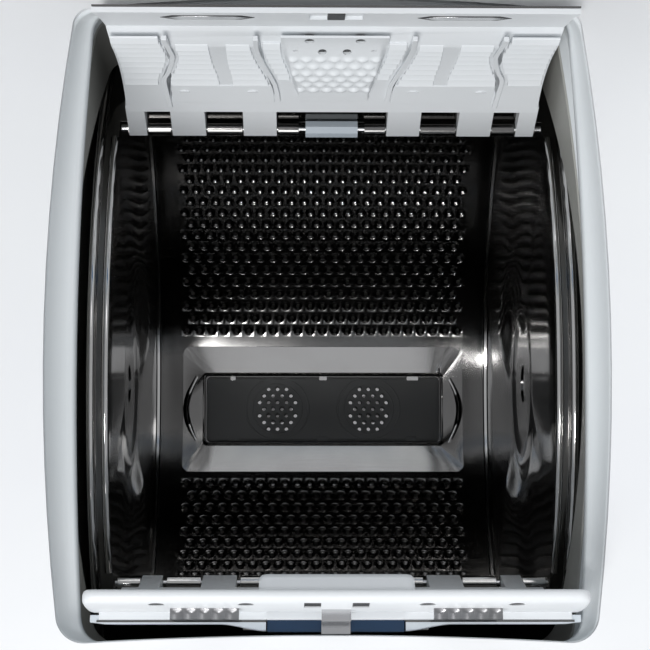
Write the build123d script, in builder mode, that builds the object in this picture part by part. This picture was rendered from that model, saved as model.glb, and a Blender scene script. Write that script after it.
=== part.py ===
from build123d import *

import os
from math import atan2, cos, degrees, radians, sin, sqrt

# A top-loading washing machine whose drum turns about an axis that runs across the cabinet.
# Millimetres: X to the right, Y to the rear, Z up. The origin is on the floor, under the middle of the
# cabinet. It is shown ready to be loaded: the lid is up, the drum is parked with its mouth on top, and the
# two doors of the drum stand open, one at the rear edge of the mouth and one at its front edge.

os.makedirs("parts", exist_ok=True)

# Cabinet
cabinet_width = 400.0
cabinet_depth = 600.0
cabinet_corner = 12.0
deck_top = 850.0
sheet_steel = 1.0
foot_height = 16.0
base_top = 60.0
base_wall = 4.0
side_seam = 32.0
side_start = side_seam - cabinet_depth / 2
rear_recess = 15.0

# Feet
foot_inset_x = 35.0
foot_inset_y = 40.0
foot_span_x = cabinet_width - 2 * foot_inset_x
foot_span_y = cabinet_depth - 2 * foot_inset_y
foot_radius = 19.0
foot_pad = 9.0
foot_sides = 8
foot_stem_radius = 5.0
foot_boss_radius = 13.0
foot_boss_top = base_top - 8.0
thread_clearance = 0.05

# Deck, and its mouth, whose sides bow outwards. Mouth sizes are measured from the drum's axis.
deck_plate = 4.0
deck_skirt = 22.0
deck_wall = 3.0
deck_edge_round = 3.0
mouth_shift = -4.0
mouth_half = 142.3
mouth_front = -153.7
mouth_rear = 166.5
mouth_front_bow = 4.3
mouth_rear_bow = 6.5
mouth_side_bow_radius = 1100.0
mouth_side_bow_centre = -5.0
mouth_front_corner = 14.0
mouth_rear_corner = 10.0

# Drum
drum_y = -15.0
drum_height = 528.0
drum_radius = 235.0
drum_sheet = 1.0
drum_half = 130.0
bead_radius = drum_radius + 6.0
bead_half = drum_half + 4.5
door_cut_half = drum_half - 7.5
running_gap = 0.1
seat_gap = 0.3

# Perforation, and the plain band at the bottom that holds the lifter
hole_across = 7.0
hole_pitch_x = 47.5
hole_step = 30.0
hole_columns = 5
hole_rows_front = (196.0, 286.0)
hole_rows_rear = (75.0, 165.0)

# Lifter
lifter_length = 188.0
lifter_width = 52.0
lifter_depth = 5.0
grille_pitch = 12.0
grille_hole = 6.0
grille_spacing = 78.0

# Hinges of the drum doors
rear_hinge_angle = 34.0
front_hinge_angle = -32.5
hinge_radius = drum_radius + 2.0
rod_radius = 2.0
loop_radius = rod_radius + 1.9
loop_sides = 8

# Drum doors, in their closed places round the drum's axis
door_inner = drum_radius - 6.0
door_outer = drum_radius + 5.0
door_skin = 1.0
lap_radius = 235.7
lap_gap = 0.4
rear_lap_edge = -3.3
rear_lap_start = 4.9
front_lap_edge = 4.2
front_lap_start = -3.8
door_root_half = door_cut_half - 5.5
door_waist_half = door_cut_half - 7.0
door_free_half = door_cut_half - 0.5
rear_door_turn = 84.6
front_door_turn = 78.0

# Catch between the two doors
slot_near = 41.0
slot_far = 89.0
slot_width = 6.0
slot_angle = -0.4
tongue_near = 47.5
tongue_far = 81.0
window_half = 13.5
window_near = -2.9
window_far = 0.2
button_half = 34.0
button_start = -4.6
button_end = -12.6
hook_half = 7.2
hook_sheet = 1.2

# Tub
tub_radius = drum_radius + 15.0
tub_wall = 3.5
tub_half = bead_half + 9.5
tub_flange = 6.0
neck_half = tub_half - 5.0
neck_front = -162.0
neck_rear = 180.0
neck_top = tub_radius + 12.0
neck_wall = 3.0
neck_corner = 16.0
lip_half = neck_half - 7.0
lip_front = -154.0
lip_rear = 170.0
lip_height = neck_top + 18.0
lip_corner = 12.0
lip_side_bow_radius = 2200.0
rubber = 2.5
sump_depth = 24.0
sump_start = 176.0
sump_end = 204.0
sump_half = tub_half - 26.0

# Shafts, bearings and pulley
shaft_radius = 12.5
shaft_flange_radius = 46.0
shaft_flange = 5.0
bearing_radius = 26.0
bearing_width = 15.0
bearing_inner = tub_half + 3.0
hub_radius = 33.0
hub_end = tub_half + 22.0
end_wall = 3.5
pulley_middle = -hub_end - 12.0
pulley_radius = 134.0
pulley_width = 14.0
belt_width = 10.0
belt_thickness = 3.0

# Motor
motor_angle = 160.0
motor_distance = tub_radius + 112.0
motor_radius = 60.0
motor_start = -146.0
motor_end = -16.0
motor_shaft_radius = 6.0
motor_pulley_radius = 10.5

# Suspension
damper_x = 62.0
damper_offset = 150.0
damper_radius = 15.0
damper_rod_radius = 6.0
spring_x = cabinet_width / 2 - 24.0
spring_offset = 150.0
spring_radius = 10.0
spring_top = deck_top - 98.0
spring_bottom = drum_height + 72.0

# Lid, in its closed place, measured from its hinge
lid_hinge_y = cabinet_depth / 2 - 100.0
lid_hinge_z = deck_top + 43.0
lid_open = 97.0
lid_half = cabinet_width / 2 - 1.0
lid_front = -cabinet_depth / 2 - lid_hinge_y
lid_rear = 8.0
lid_upper = 13.0
lid_lower = -41.0
lid_wall = 3.0
lid_corner = 14.0
lid_round = 4.0
liner_level = -6.0
liner_sheet = 2.5
rim_half = lid_half - 34.0
rim_front = lid_front + 115.0
rim_rear = -20.0
rim_bottom = -40.0
rim_corner = 16.0
lug_x = lid_half - 29.0
lug_width = 12.0
lug_radius = 9.0
lid_pin_radius = 3.0

# Detergent tray in the underside of the lid
tray_half = 105.0
tray_front = -295.0
tray_rear = -95.0
tray_depth = 30.0
tray_wall = 2.0

# Console
console_front = lid_hinge_y + 16.0
console_low = lid_hinge_z + 5.0
console_high = console_low + 20.0
console_wall = 3.0
fascia = 3.0
knob_radius = 22.0
knob_height = 17.0
knob_shaft_radius = 3.0
knob_shaft_depth = 8.0
button_width = 24.0
button_depth = 9.0
button_lift = 2.5
press_travel = 1.5

# Drain pump and its filter
pump_x = 75.0 - cabinet_width / 2
pump_height = 112.0
filter_radius = 26.0
pump_radius = filter_radius + 6.0
door_width = 104.0
door_low = 66.0
door_high = 160.0

axis_point = Vector(0, drum_y, drum_height)
across = Plane(origin=axis_point, x_dir=(0, 1, 0), z_dir=(1, 0, 0))
drum_axis = Axis(axis_point, (1, 0, 0))


def keep(builder, name):
    """Labels a finished piece and writes it to its own file."""
    builder.part.label = name
    export_step(builder.part, f"parts/{name}.step")


def polar(radius, angle, centre=(0.0, 0.0)):
    """A point round the drum's axis, its angle in degrees from straight up towards the rear."""
    return (radius * sin(radians(angle)) - centre[0], radius * cos(radians(angle)) - centre[1])


def sector(inner, outer, start, end, centre=(0.0, 0.0), mode=Mode.ADD):
    """A curved bar between two radii and two angles, added to the sketch that is open."""
    middle = (start + end) / 2
    with BuildLine() as outline:
        ThreePointArc(polar(outer, start, centre), polar(outer, middle, centre), polar(outer, end, centre))
        Line(polar(outer, end, centre), polar(inner, end, centre))
        ThreePointArc(polar(inner, end, centre), polar(inner, middle, centre), polar(inner, start, centre))
        Line(polar(inner, start, centre), polar(outer, start, centre))
    make_face(outline.edges(), mode=mode)


def folded_sheet(points, bend, thickness):
    """The cross-section of a sheet that follows the points, added to the sketch that is open."""
    with BuildLine() as strip:
        FilletPolyline(*points, radius=bend)
        offset(amount=thickness, side=Side.LEFT)
    make_face(strip.edges())


def bowed_outline(height, sides, corners, bow, grow=0.0, front_bow=0.0, rear_bow=0.0):
    """A face with bowed sides round the drum's mouth, on a level above the drum's axis."""
    half, front, rear = sides
    front_corner, rear_corner = corners

    def side(y):
        return half + grow - bow + sqrt(bow**2 - (y - mouth_side_bow_centre) ** 2)

    low, high = front - grow, rear + grow
    middle = (half + grow, mouth_side_bow_centre)
    with BuildSketch(Plane(origin=(mouth_shift, drum_y, drum_height + height))) as outline:
        with BuildLine():
            ThreePointArc((side(low), low), middle, (side(high), high))
            if rear_bow:
                ThreePointArc((side(high), high), (0, high + rear_bow), (-side(high), high))
            else:
                Line((side(high), high), (-side(high), high))
            ThreePointArc((-side(high), high), (-middle[0], middle[1]), (-side(low), low))
            if front_bow:
                ThreePointArc((-side(low), low), (0, low + front_bow), (side(low), low))
            else:
                Line((-side(low), low), (side(low), low))
        make_face()
        fillet(outline.vertices().group_by(Axis.Y)[0], front_corner + grow)
        fillet(outline.vertices().group_by(Axis.Y)[-1], rear_corner + grow)
    return outline


def mouth(height, grow=0.0):
    """The outline of the deck's mouth."""
    corners = (mouth_front_corner, mouth_rear_corner)
    sides = (mouth_half, mouth_front, mouth_rear)
    return bowed_outline(height, sides, corners, mouth_side_bow_radius, grow, mouth_front_bow, mouth_rear_bow)


def lip(height, grow=0.0):
    """The outline of the narrow part of the rubber gasket."""
    sides = (lip_half, lip_front, lip_rear)
    return bowed_outline(height, sides, (lip_corner, lip_corner), lip_side_bow_radius, grow)


def neck(height, grow=0.0):
    """The outline of the tub's neck."""
    sides = (neck_half, neck_front, neck_rear)
    return bowed_outline(height, sides, (neck_corner, neck_corner), mouth_side_bow_radius, grow)


# Base frame, an open tray with a boss over each foot
damper_places = [(damper_x, drum_y - damper_offset), (damper_x, drum_y + damper_offset)]
damper_seat = base_top
with BuildPart() as base_frame:
    with BuildSketch(Plane.XY.offset(foot_height)):
        RectangleRounded(cabinet_width, cabinet_depth, cabinet_corner)
    extrude(amount=base_top - foot_height)
    with BuildSketch(Plane.XY.offset(foot_height + base_wall)):
        RectangleRounded(
            cabinet_width - 2 * base_wall, cabinet_depth - 2 * base_wall, cabinet_corner - base_wall
        )
    extrude(amount=base_top - foot_height - base_wall, mode=Mode.SUBTRACT)
    with BuildSketch(Plane.XY.offset(foot_height)):
        with GridLocations(foot_span_x, foot_span_y, 2, 2):
            Rectangle(2 * foot_boss_radius, 2 * foot_boss_radius)
    extrude(amount=foot_boss_top - foot_height)
    with BuildSketch(Plane.XY.offset(foot_height)):
        with Locations(*damper_places):
            Rectangle(2 * damper_radius, 2 * damper_radius)
    extrude(amount=damper_seat - foot_height)
    with BuildSketch(Plane.XY.offset(foot_height)):
        with GridLocations(foot_span_x, foot_span_y, 2, 2):
            Circle(foot_stem_radius + thread_clearance)
    extrude(amount=foot_boss_top - foot_height, mode=Mode.SUBTRACT)
keep(base_frame, "base_frame")


def foot(places):
    """A foot with a many-sided pad, to be turned by hand, on a stem that stands in its boss."""
    with BuildPart() as piece:
        with BuildSketch(Plane.XY):
            with Locations(*places):
                RegularPolygon(foot_radius, foot_sides)
        extrude(amount=foot_pad)
        with BuildSketch(Plane.XY.offset(foot_pad)):
            with Locations(*places):
                Circle(foot_stem_radius)
        extrude(amount=foot_boss_top - foot_pad)
    return piece


keep(foot([(-foot_span_x / 2, -foot_span_y / 2)]), "front_left_foot")
keep(foot([(foot_span_x / 2, -foot_span_y / 2)]), "front_right_foot")
keep(foot([(-foot_span_x / 2, foot_span_y / 2), (foot_span_x / 2, foot_span_y / 2)]), "rear_feet")

# Outer panels of sheet steel, each bent from one strip
panel_low = base_top
panel_high = deck_top - deck_skirt
panel_height = panel_high - panel_low
half_width = cabinet_width / 2
half_depth = cabinet_depth / 2
with BuildPart() as front_panel:
    with BuildSketch(Plane.XY.offset(panel_low)):
        folded_sheet(
            [
                (-half_width, side_start),
                (-half_width, -half_depth),
                (half_width, -half_depth),
                (half_width, side_start),
            ],
            cabinet_corner,
            sheet_steel,
        )
    extrude(amount=panel_height)
    with BuildSketch(Plane.XZ.offset(half_depth)):
        with Locations((pump_x, (door_low + door_high) / 2)):
            Rectangle(door_width, door_high - door_low)
    extrude(amount=-2 * sheet_steel, mode=Mode.SUBTRACT)
keep(front_panel, "front_panel")

rear_plane = half_depth - rear_recess


def side_panel(hand):
    """A side panel with a flange turned in at its rear edge."""
    edge = hand * half_width
    points = [(edge, side_start), (edge, half_depth), (edge - hand * 14.0, half_depth)]
    with BuildPart() as piece:
        with BuildSketch(Plane.XY.offset(panel_low)):
            folded_sheet(points[::hand], 3.0, sheet_steel)
        extrude(amount=panel_height)
    return piece


keep(side_panel(-1), "left_side_panel")
keep(side_panel(1), "right_side_panel")

# Rear panel, set in between the side panels so that the connections stay inside the cabinet's depth
pan_half = half_width - 14.0
flange_inset = 4.0
inlet_x = half_width - 60.0
inlet_height = deck_top - 70.0
inlet_thread_radius = 13.2
outlet_x = 44.0 - half_width
outlet_height = 130.0
outlet_radius = 11.0
connection_step = 1.2
connection_start = rear_plane + 1.0
gland_radius = 9.0
pipe_clearance = 0.5
with BuildPart() as rear_panel:
    with BuildSketch(Plane.XY.offset(panel_low)):
        folded_sheet(
            [
                (-half_width + flange_inset, half_depth - sheet_steel),
                (-pan_half, half_depth - sheet_steel),
                (-pan_half, rear_plane),
                (pan_half, rear_plane),
                (pan_half, half_depth - sheet_steel),
                (half_width - flange_inset, half_depth - sheet_steel),
            ][::-1],
            2.0,
            sheet_steel,
        )
    extrude(amount=panel_height)
    with BuildSketch(Plane.XZ.offset(-half_depth)):
        with Locations((inlet_x, inlet_height)):
            Circle(inlet_thread_radius - connection_step + pipe_clearance)
        with Locations((-inlet_x, inlet_height)):
            Circle(gland_radius + pipe_clearance)
        with Locations((outlet_x, outlet_height)):
            Circle(outlet_radius - connection_step + pipe_clearance)
    extrude(amount=2 * rear_recess, mode=Mode.SUBTRACT)
keep(rear_panel, "rear_panel")

# Top deck, a moulded cover with a skirt over the panels
lock_x = half_width - 50.0
lock_y = 38.0 - half_depth
lock_slot = (26.0, 9.0)
lock_wall = 8.0
deck_level = deck_top - drum_height
with BuildPart() as top_deck:
    with BuildSketch(Plane.XY.offset(panel_high)):
        RectangleRounded(cabinet_width, cabinet_depth, cabinet_corner)
    extrude(amount=deck_skirt)
    chamfer(top_deck.faces().sort_by(Axis.Z)[-1].edges(), deck_edge_round)
    with BuildSketch(Plane.XY.offset(panel_high)):
        RectangleRounded(
            cabinet_width - 2 * deck_wall, cabinet_depth - 2 * deck_wall, cabinet_corner - deck_wall
        )
    extrude(amount=deck_skirt - deck_plate, mode=Mode.SUBTRACT)
    extrude(mouth(deck_level).sketch, amount=-deck_plate, mode=Mode.SUBTRACT)
    with BuildSketch(Plane.XY.offset(deck_top)):
        with Locations((lock_x, lock_y)):
            Rectangle(*lock_slot)
    extrude(amount=-deck_plate, mode=Mode.SUBTRACT)
keep(top_deck, "top_deck")

# Lid lock, hung under its slot in the deck
with BuildPart() as lid_lock:
    with BuildSketch(Plane.XY.offset(deck_top - deck_plate)):
        with Locations((lock_x, lock_y)):
            Rectangle(lock_slot[0] + 2 * lock_wall, lock_slot[1] + 2 * lock_wall)
    extrude(amount=-26.0)
    with BuildSketch(Plane.XY.offset(deck_top - deck_plate)):
        with Locations((lock_x, lock_y)):
            Rectangle(*lock_slot)
    extrude(amount=-18.0, mode=Mode.SUBTRACT)
keep(lid_lock, "lid_lock")

# Rubber gasket between the deck and the neck of the tub
gasket_flange = 8.0
gasket_top = deck_level - deck_plate
cuff_low = neck_top - 14.0
fold = neck_top + seat_gap
with BuildPart() as mouth_gasket:
    extrude(mouth(gasket_top, gasket_flange).sketch, amount=-rubber)
    loft([mouth(gasket_top, rubber).sketch.face(), lip(lip_height, rubber).sketch.face()], ruled=True)
    extrude(lip(lip_height, rubber).sketch, amount=fold - lip_height)
    extrude(neck(fold + rubber, neck_wall + seat_gap + rubber).sketch, amount=cuff_low - fold - rubber)
    extrude(neck(fold, neck_wall + seat_gap).sketch, amount=cuff_low - fold, mode=Mode.SUBTRACT)
    extrude(lip(lip_height).sketch, amount=fold - lip_height, mode=Mode.SUBTRACT)
    loft(
        [mouth(gasket_top).sketch.face(), lip(lip_height).sketch.face()],
        ruled=True,
        mode=Mode.SUBTRACT,
    )
keep(mouth_gasket, "mouth_gasket")

# Water inlet valve and mains gland on the rear panel, drain pipe from the pump to the rear panel
rear_inside = rear_plane - sheet_steel
valve_reach = 21.0
valve_body = (44.0, 44.0, 6.0)
valve_coil_radius = 13.0
valve_coil_length = 38.0
with BuildPart() as inlet_valve:
    with BuildSketch(Plane.XZ.offset(-half_depth)):
        with Locations((inlet_x, inlet_height)):
            Circle(inlet_thread_radius)
    extrude(amount=half_depth - connection_start)
    with BuildSketch(Plane.XZ.offset(-connection_start)):
        with Locations((inlet_x, inlet_height)):
            Circle(inlet_thread_radius - connection_step)
    extrude(amount=connection_start - rear_inside + valve_reach)
    with BuildSketch(Plane.XZ.offset(-rear_inside)):
        with Locations((inlet_x, inlet_height)):
            Rectangle(valve_body[0], valve_body[1])
    extrude(amount=valve_body[2])
    with BuildSketch(Plane.XY.offset(inlet_height)):
        with Locations((inlet_x, rear_inside - valve_reach + 1.0)):
            RegularPolygon(valve_coil_radius, 8)
    extrude(amount=valve_coil_length)
    with BuildSketch(Plane.XZ.offset(-half_depth)):
        with Locations((inlet_x, inlet_height)):
            Circle(8.0)
    extrude(amount=12.0, mode=Mode.SUBTRACT)
keep(inlet_valve, "inlet_valve")

with BuildPart() as mains_gland:
    with BuildSketch(Plane.XZ.offset(-rear_inside)):
        with Locations((-inlet_x, inlet_height)):
            RegularPolygon(gland_radius + 4.0, 6)
    extrude(amount=6.0)
    with BuildSketch(Plane.XZ.offset(-rear_inside + 6.0)):
        with Locations((-inlet_x, inlet_height)):
            RegularPolygon(gland_radius, 6)
    extrude(amount=-18.0)
    with BuildSketch(Plane.XZ.offset(-half_depth)):
        with Locations((-inlet_x, inlet_height)):
            Circle(4.0)
    extrude(amount=40.0, mode=Mode.SUBTRACT)
keep(mains_gland, "mains_gland")

pipe_wall = 2.0
pipe_sides = 10
pipe_radius = outlet_radius - connection_step
pipe_start = 140.0 - half_depth
pipe_low = 86.0
with BuildPart() as drain_pipe:
    with BuildLine() as drain_route:
        Polyline(
            (outlet_x, pipe_start, pipe_low),
            (outlet_x, half_depth - 130.0, pipe_low),
            (outlet_x, half_depth - 65.0, outlet_height),
            (outlet_x, half_depth, outlet_height),
        )
    with BuildSketch(Plane(origin=(outlet_x, pipe_start, pipe_low), z_dir=(0, 1, 0))):
        RegularPolygon(pipe_radius, pipe_sides)
        RegularPolygon(pipe_radius - pipe_wall, pipe_sides, mode=Mode.SUBTRACT)
    sweep(transition=Transition.RIGHT)
    with BuildSketch(Plane.XZ.offset(-half_depth)):
        with Locations((outlet_x, outlet_height)):
            Circle(outlet_radius)
            Circle(pipe_radius - pipe_wall, mode=Mode.SUBTRACT)
    extrude(amount=half_depth - connection_start)
keep(drain_pipe, "drain_pipe")

# Drain pump, with the seat of its filter at the front
pump_front = -half_depth + 8.0
pump_volute = 38.0 - half_depth
pump_back = 114.0 - half_depth
pump_end = 168.0 - half_depth
filter_depth = 62.0 - half_depth
spigot_y = 76.0 - half_depth
spigot_top = 162.0
spigot_radius = 14.0
with BuildPart() as drain_pump:
    with BuildSketch(Plane.XZ.offset(-pump_front)):
        with Locations((pump_x, pump_height)):
            RegularPolygon(filter_radius + 4.0, 12, major_radius=False)
    extrude(amount=pump_front - pump_volute)
    with BuildSketch(Plane.XZ.offset(-pump_volute)):
        with Locations((pump_x, pump_height)):
            RegularPolygon(pump_radius, 12)
    extrude(amount=pump_volute - pump_back)
    with BuildSketch(Plane.XZ.offset(-pump_back)):
        with Locations((pump_x, pump_height)):
            RegularPolygon(pump_radius - 8.0, 8)
    extrude(amount=pump_back - pump_end)
    with BuildSketch(Plane.XY.offset(pump_height)):
        with Locations((pump_x, spigot_y)):
            Circle(spigot_radius)
    extrude(amount=spigot_top - pump_height)
    with BuildSketch(Plane.XZ.offset(-pump_back)):
        with Locations((outlet_x, pipe_low)):
            RegularPolygon(pipe_radius, pipe_sides)
    extrude(amount=pump_back - pipe_start)
    with BuildSketch(Plane.XY.offset(foot_height + base_wall)):
        with Locations((pump_x, pump_volute + 12.0), (pump_x, pump_end - 12.0)):
            Rectangle(30.0, 12.0)
    extrude(amount=pump_height - foot_height - base_wall)
    with BuildSketch(Plane.XZ.offset(-pump_front)):
        with Locations((pump_x, pump_height)):
            Circle(filter_radius + running_gap)
    extrude(amount=pump_front - filter_depth, mode=Mode.SUBTRACT)
    with BuildSketch(Plane.XY.offset(spigot_top)):
        with Locations((pump_x, spigot_y)):
            Circle(spigot_radius - pipe_wall)
    extrude(amount=-20.0, mode=Mode.SUBTRACT)
keep(drain_pump, "drain_pump")

cap_flange = 14.0
with BuildPart() as filter_cap:
    with BuildSketch(Plane.XZ.offset(-pump_front)):
        with Locations((pump_x, pump_height)):
            Circle(filter_radius)
    extrude(amount=-cap_flange)
    with BuildSketch(Plane.XZ.offset(-pump_front)):
        with Locations((pump_x, pump_height)):
            Rectangle(1.7 * filter_radius, 8.0)
    extrude(amount=4.0)
    with BuildSketch(Plane.XZ.offset(-pump_front - cap_flange)):
        with Locations((pump_x, pump_height)):
            RegularPolygon(filter_radius - 8.0, 8)
    extrude(amount=-(filter_depth - pump_front) + cap_flange + 2.0)
keep(filter_cap, "filter_cap")

# Door over the filter, a flap in the front panel that tilts forward on two pins
door_gap = 0.8
door_pin_radius = 1.5
door_pin_z = 70.0
door_pin_y = -half_depth + 3.8
door_sheet = 2.5
door_pin_reach = 4.0
door_foot = 2.2
with BuildPart() as filter_door:
    with BuildSketch(Plane.XZ.offset(half_depth)):
        with Locations((pump_x, (door_low + door_foot + door_high - door_gap) / 2)):
            Rectangle(door_width - 2 * door_gap, door_high - door_low - door_foot - door_gap)
    extrude(amount=-door_sheet)
    with BuildSketch(Plane.YZ.offset(pump_x)):
        with Locations((door_pin_y, door_pin_z)):
            Circle(door_pin_radius)
    extrude(amount=door_width / 2 + door_pin_reach, both=True)
    with BuildSketch(Plane.YZ.offset(pump_x)):
        with Locations((door_pin_y - door_pin_radius / 2, door_pin_z)):
            Rectangle(door_pin_radius, 2 * door_pin_radius)
    extrude(amount=door_width / 2 - door_gap - 6.0, both=True)
keep(filter_door, "filter_door")

# Console behind the lid, with two lugs that carry the lid
console_back = half_depth
fascia_tilt = degrees(atan2(console_high - console_low, console_back - console_front))
fascia_normal = Vector(0, -sin(radians(fascia_tilt)), cos(radians(fascia_tilt)))
fascia_middle = Vector(0, (console_front + console_back) / 2, (console_low + console_high) / 2)
fascia_plane = Plane(origin=fascia_middle, x_dir=(1, 0, 0), z_dir=fascia_normal)
lid_hinge = (lid_hinge_y, lid_hinge_z)
console_inner_front = console_front + console_wall
knob_place = (0.0, 0.0)
start_place = (62.0, 0.0)
option_places = [(-98.0, 0.0), (-62.0, 0.0)]
display_place = (118.0, 0.0)
display_size = (52.0, 24.0)
with BuildPart() as control_console:
    with BuildSketch(Plane.XY.offset(deck_top)) as console_plan:
        with Locations((0, (console_front + console_back) / 2)):
            Rectangle(cabinet_width, console_back - console_front)
        fillet(console_plan.vertices().group_by(Axis.Y)[-1], cabinet_corner)
        offset(amount=-console_wall, mode=Mode.SUBTRACT)
    extrude(amount=console_high - deck_top)
    split(bisect_by=fascia_plane, keep=Keep.BOTTOM)
    for hand in (-1, 1):
        with BuildSketch(Plane.YZ.offset(hand * lug_x)):
            with Locations(lid_hinge):
                Circle(lug_radius)
            with BuildLine():
                Polyline(
                    (lid_hinge_y, lid_hinge_z - lug_radius),
                    (console_inner_front, lid_hinge_z - lug_radius - 8.0),
                    (console_inner_front, console_low),
                    (console_front, console_low),
                    (lid_hinge_y, lid_hinge_z + lug_radius),
                    close=True,
                )
            make_face()
        extrude(amount=lug_width / 2, both=True)
    with BuildSketch(Plane.YZ):
        with Locations(lid_hinge):
            Circle(lid_pin_radius)
    extrude(amount=half_width, both=True, mode=Mode.SUBTRACT)
keep(control_console, "control_console")

pin_half = lug_width / 2 + 9.0
with BuildPart() as lid_hinge_pins:
    for hand in (-1, 1):
        with BuildSketch(Plane.YZ.offset(hand * lug_x)):
            with Locations(lid_hinge):
                Circle(lid_pin_radius)
        extrude(amount=pin_half, both=True)
keep(lid_hinge_pins, "lid_hinge_pins")

# Fascia on the slope of the console, with its controls
button_gap = 0.3
fascia_length = (console_back - console_front) / cos(radians(fascia_tilt))
with BuildPart() as control_fascia:
    with BuildSketch(fascia_plane):
        RectangleRounded(cabinet_width, fascia_length, 4.0)
    extrude(amount=fascia)
    chamfer(control_fascia.faces().sort_by(Axis.Z)[-1].edges(), 1.0)
    with BuildSketch(fascia_plane):
        with Locations(knob_place):
            Circle(knob_shaft_radius + running_gap)
        with Locations(start_place, *option_places):
            Rectangle(button_width + 2 * button_gap, button_depth + 2 * button_gap)
        with Locations(display_place):
            Rectangle(*display_size)
    extrude(amount=fascia, mode=Mode.SUBTRACT)
keep(control_fascia, "control_fascia")

with BuildPart() as display_window:
    with BuildSketch(fascia_plane):
        with Locations(display_place):
            Rectangle(*display_size)
    extrude(amount=fascia - 0.4)
keep(display_window, "display_window")

knob_lift = fascia + 0.4
with BuildPart() as programme_knob:
    with BuildSketch(fascia_plane.offset(knob_lift)):
        with Locations(knob_place):
            Circle(knob_radius)
    extrude(amount=4.0)
    with BuildSketch(fascia_plane.offset(knob_lift + 4.0)):
        with Locations(knob_place):
            RegularPolygon(knob_radius - 5.0, 10)
    extrude(amount=knob_height - 4.0)
    with BuildSketch(fascia_plane.offset(knob_lift + knob_height)):
        with Locations(knob_place):
            with Locations((0, knob_radius - 9.0)):
                Rectangle(2.4, 8.0)
    extrude(amount=-1.2, mode=Mode.SUBTRACT)
    with BuildSketch(fascia_plane.offset(-knob_shaft_depth)):
        with Locations(knob_place):
            Circle(knob_shaft_radius)
    extrude(amount=knob_shaft_depth + knob_lift)
keep(programme_knob, "programme_knob")


def push_button(place):
    """A button that stands proud of the fascia, with a shoulder under it."""
    with BuildPart() as piece:
        with BuildSketch(fascia_plane.offset(-4.0)):
            with Locations(place):
                Rectangle(button_width, button_depth)
        extrude(amount=4.0 + fascia + button_lift)
    return piece


keep(push_button(start_place), "start_button")
keep(push_button(option_places[0]), "option_button_left")
keep(push_button(option_places[1]), "option_button_right")

board_level = -14.0
board_thickness = 1.6
with BuildPart() as control_board:
    with BuildSketch(fascia_plane.offset(board_level)):
        Rectangle(cabinet_width - 80.0, 56.0)
    extrude(amount=board_thickness)
    with BuildSketch(fascia_plane.offset(board_level + board_thickness)):
        with Locations(knob_place):
            Rectangle(14.0, 14.0)
    extrude(amount=5.0 - 0.3 - board_thickness + 1.0)
    with BuildSketch(fascia_plane.offset(board_level + board_thickness)):
        with Locations(start_place, *option_places):
            Rectangle(6.0, 6.0)
    extrude(amount=-board_level - board_thickness - 4.0 - press_travel - seat_gap)
    with BuildSketch(fascia_plane.offset(board_level + board_thickness)):
        with Locations(display_place):
            Rectangle(48.0, 20.0)
    extrude(amount=-board_level - board_thickness)
    with BuildSketch(fascia_plane.offset(board_level + board_thickness)):
        with GridLocations(300.0, 44.0, 2, 2):
            Rectangle(6.0, 6.0)
    extrude(amount=-board_level - board_thickness)
keep(control_board, "control_board")

# Lid, drawn in its own frame at the hinge: along the lid is Y, up through it is Z, and it is turned open
lid_turn = radians(lid_open)
lid_frame = Plane(
    origin=(0, lid_hinge_y, lid_hinge_z), x_dir=(1, 0, 0), z_dir=(0, sin(lid_turn), cos(lid_turn))
)
lid_middle = (lid_front + lid_rear) / 2
lid_length = lid_rear - lid_front
lug_clearance = 1.0
lug_space = lug_radius + 22.0
grip_half = 60.0
with BuildPart() as lid_shell:
    with BuildSketch(lid_frame.offset(lid_lower)):
        with Locations((0, lid_middle)):
            RectangleRounded(2 * lid_half, lid_length, lid_corner)
    extrude(amount=lid_upper - lid_lower)
    chamfer(lid_shell.faces().sort_by(Axis(lid_frame.origin, lid_frame.z_dir))[-1].edges(), lid_round)
    with BuildSketch(lid_frame.offset(lid_lower)):
        with Locations((0, lid_middle)):
            RectangleRounded(2 * (lid_half - lid_wall), lid_length - 2 * lid_wall, lid_corner - lid_wall)
    extrude(amount=lid_upper - lid_lower - lid_wall, mode=Mode.SUBTRACT)
    with BuildSketch(lid_frame.offset(lid_lower)):
        with Locations((0, lid_front)):
            Rectangle(2 * grip_half, 24.0)
    extrude(amount=16.0, mode=Mode.SUBTRACT)
    for hand in (-1, 1):
        with BuildSketch(Plane.YZ.offset(hand * lug_x)):
            with Locations(lid_hinge):
                Rectangle(2 * lug_space, 2 * lug_space)
        extrude(amount=lug_width / 2 + lug_clearance, both=True, mode=Mode.SUBTRACT)
keep(lid_shell, "lid_shell")

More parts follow.
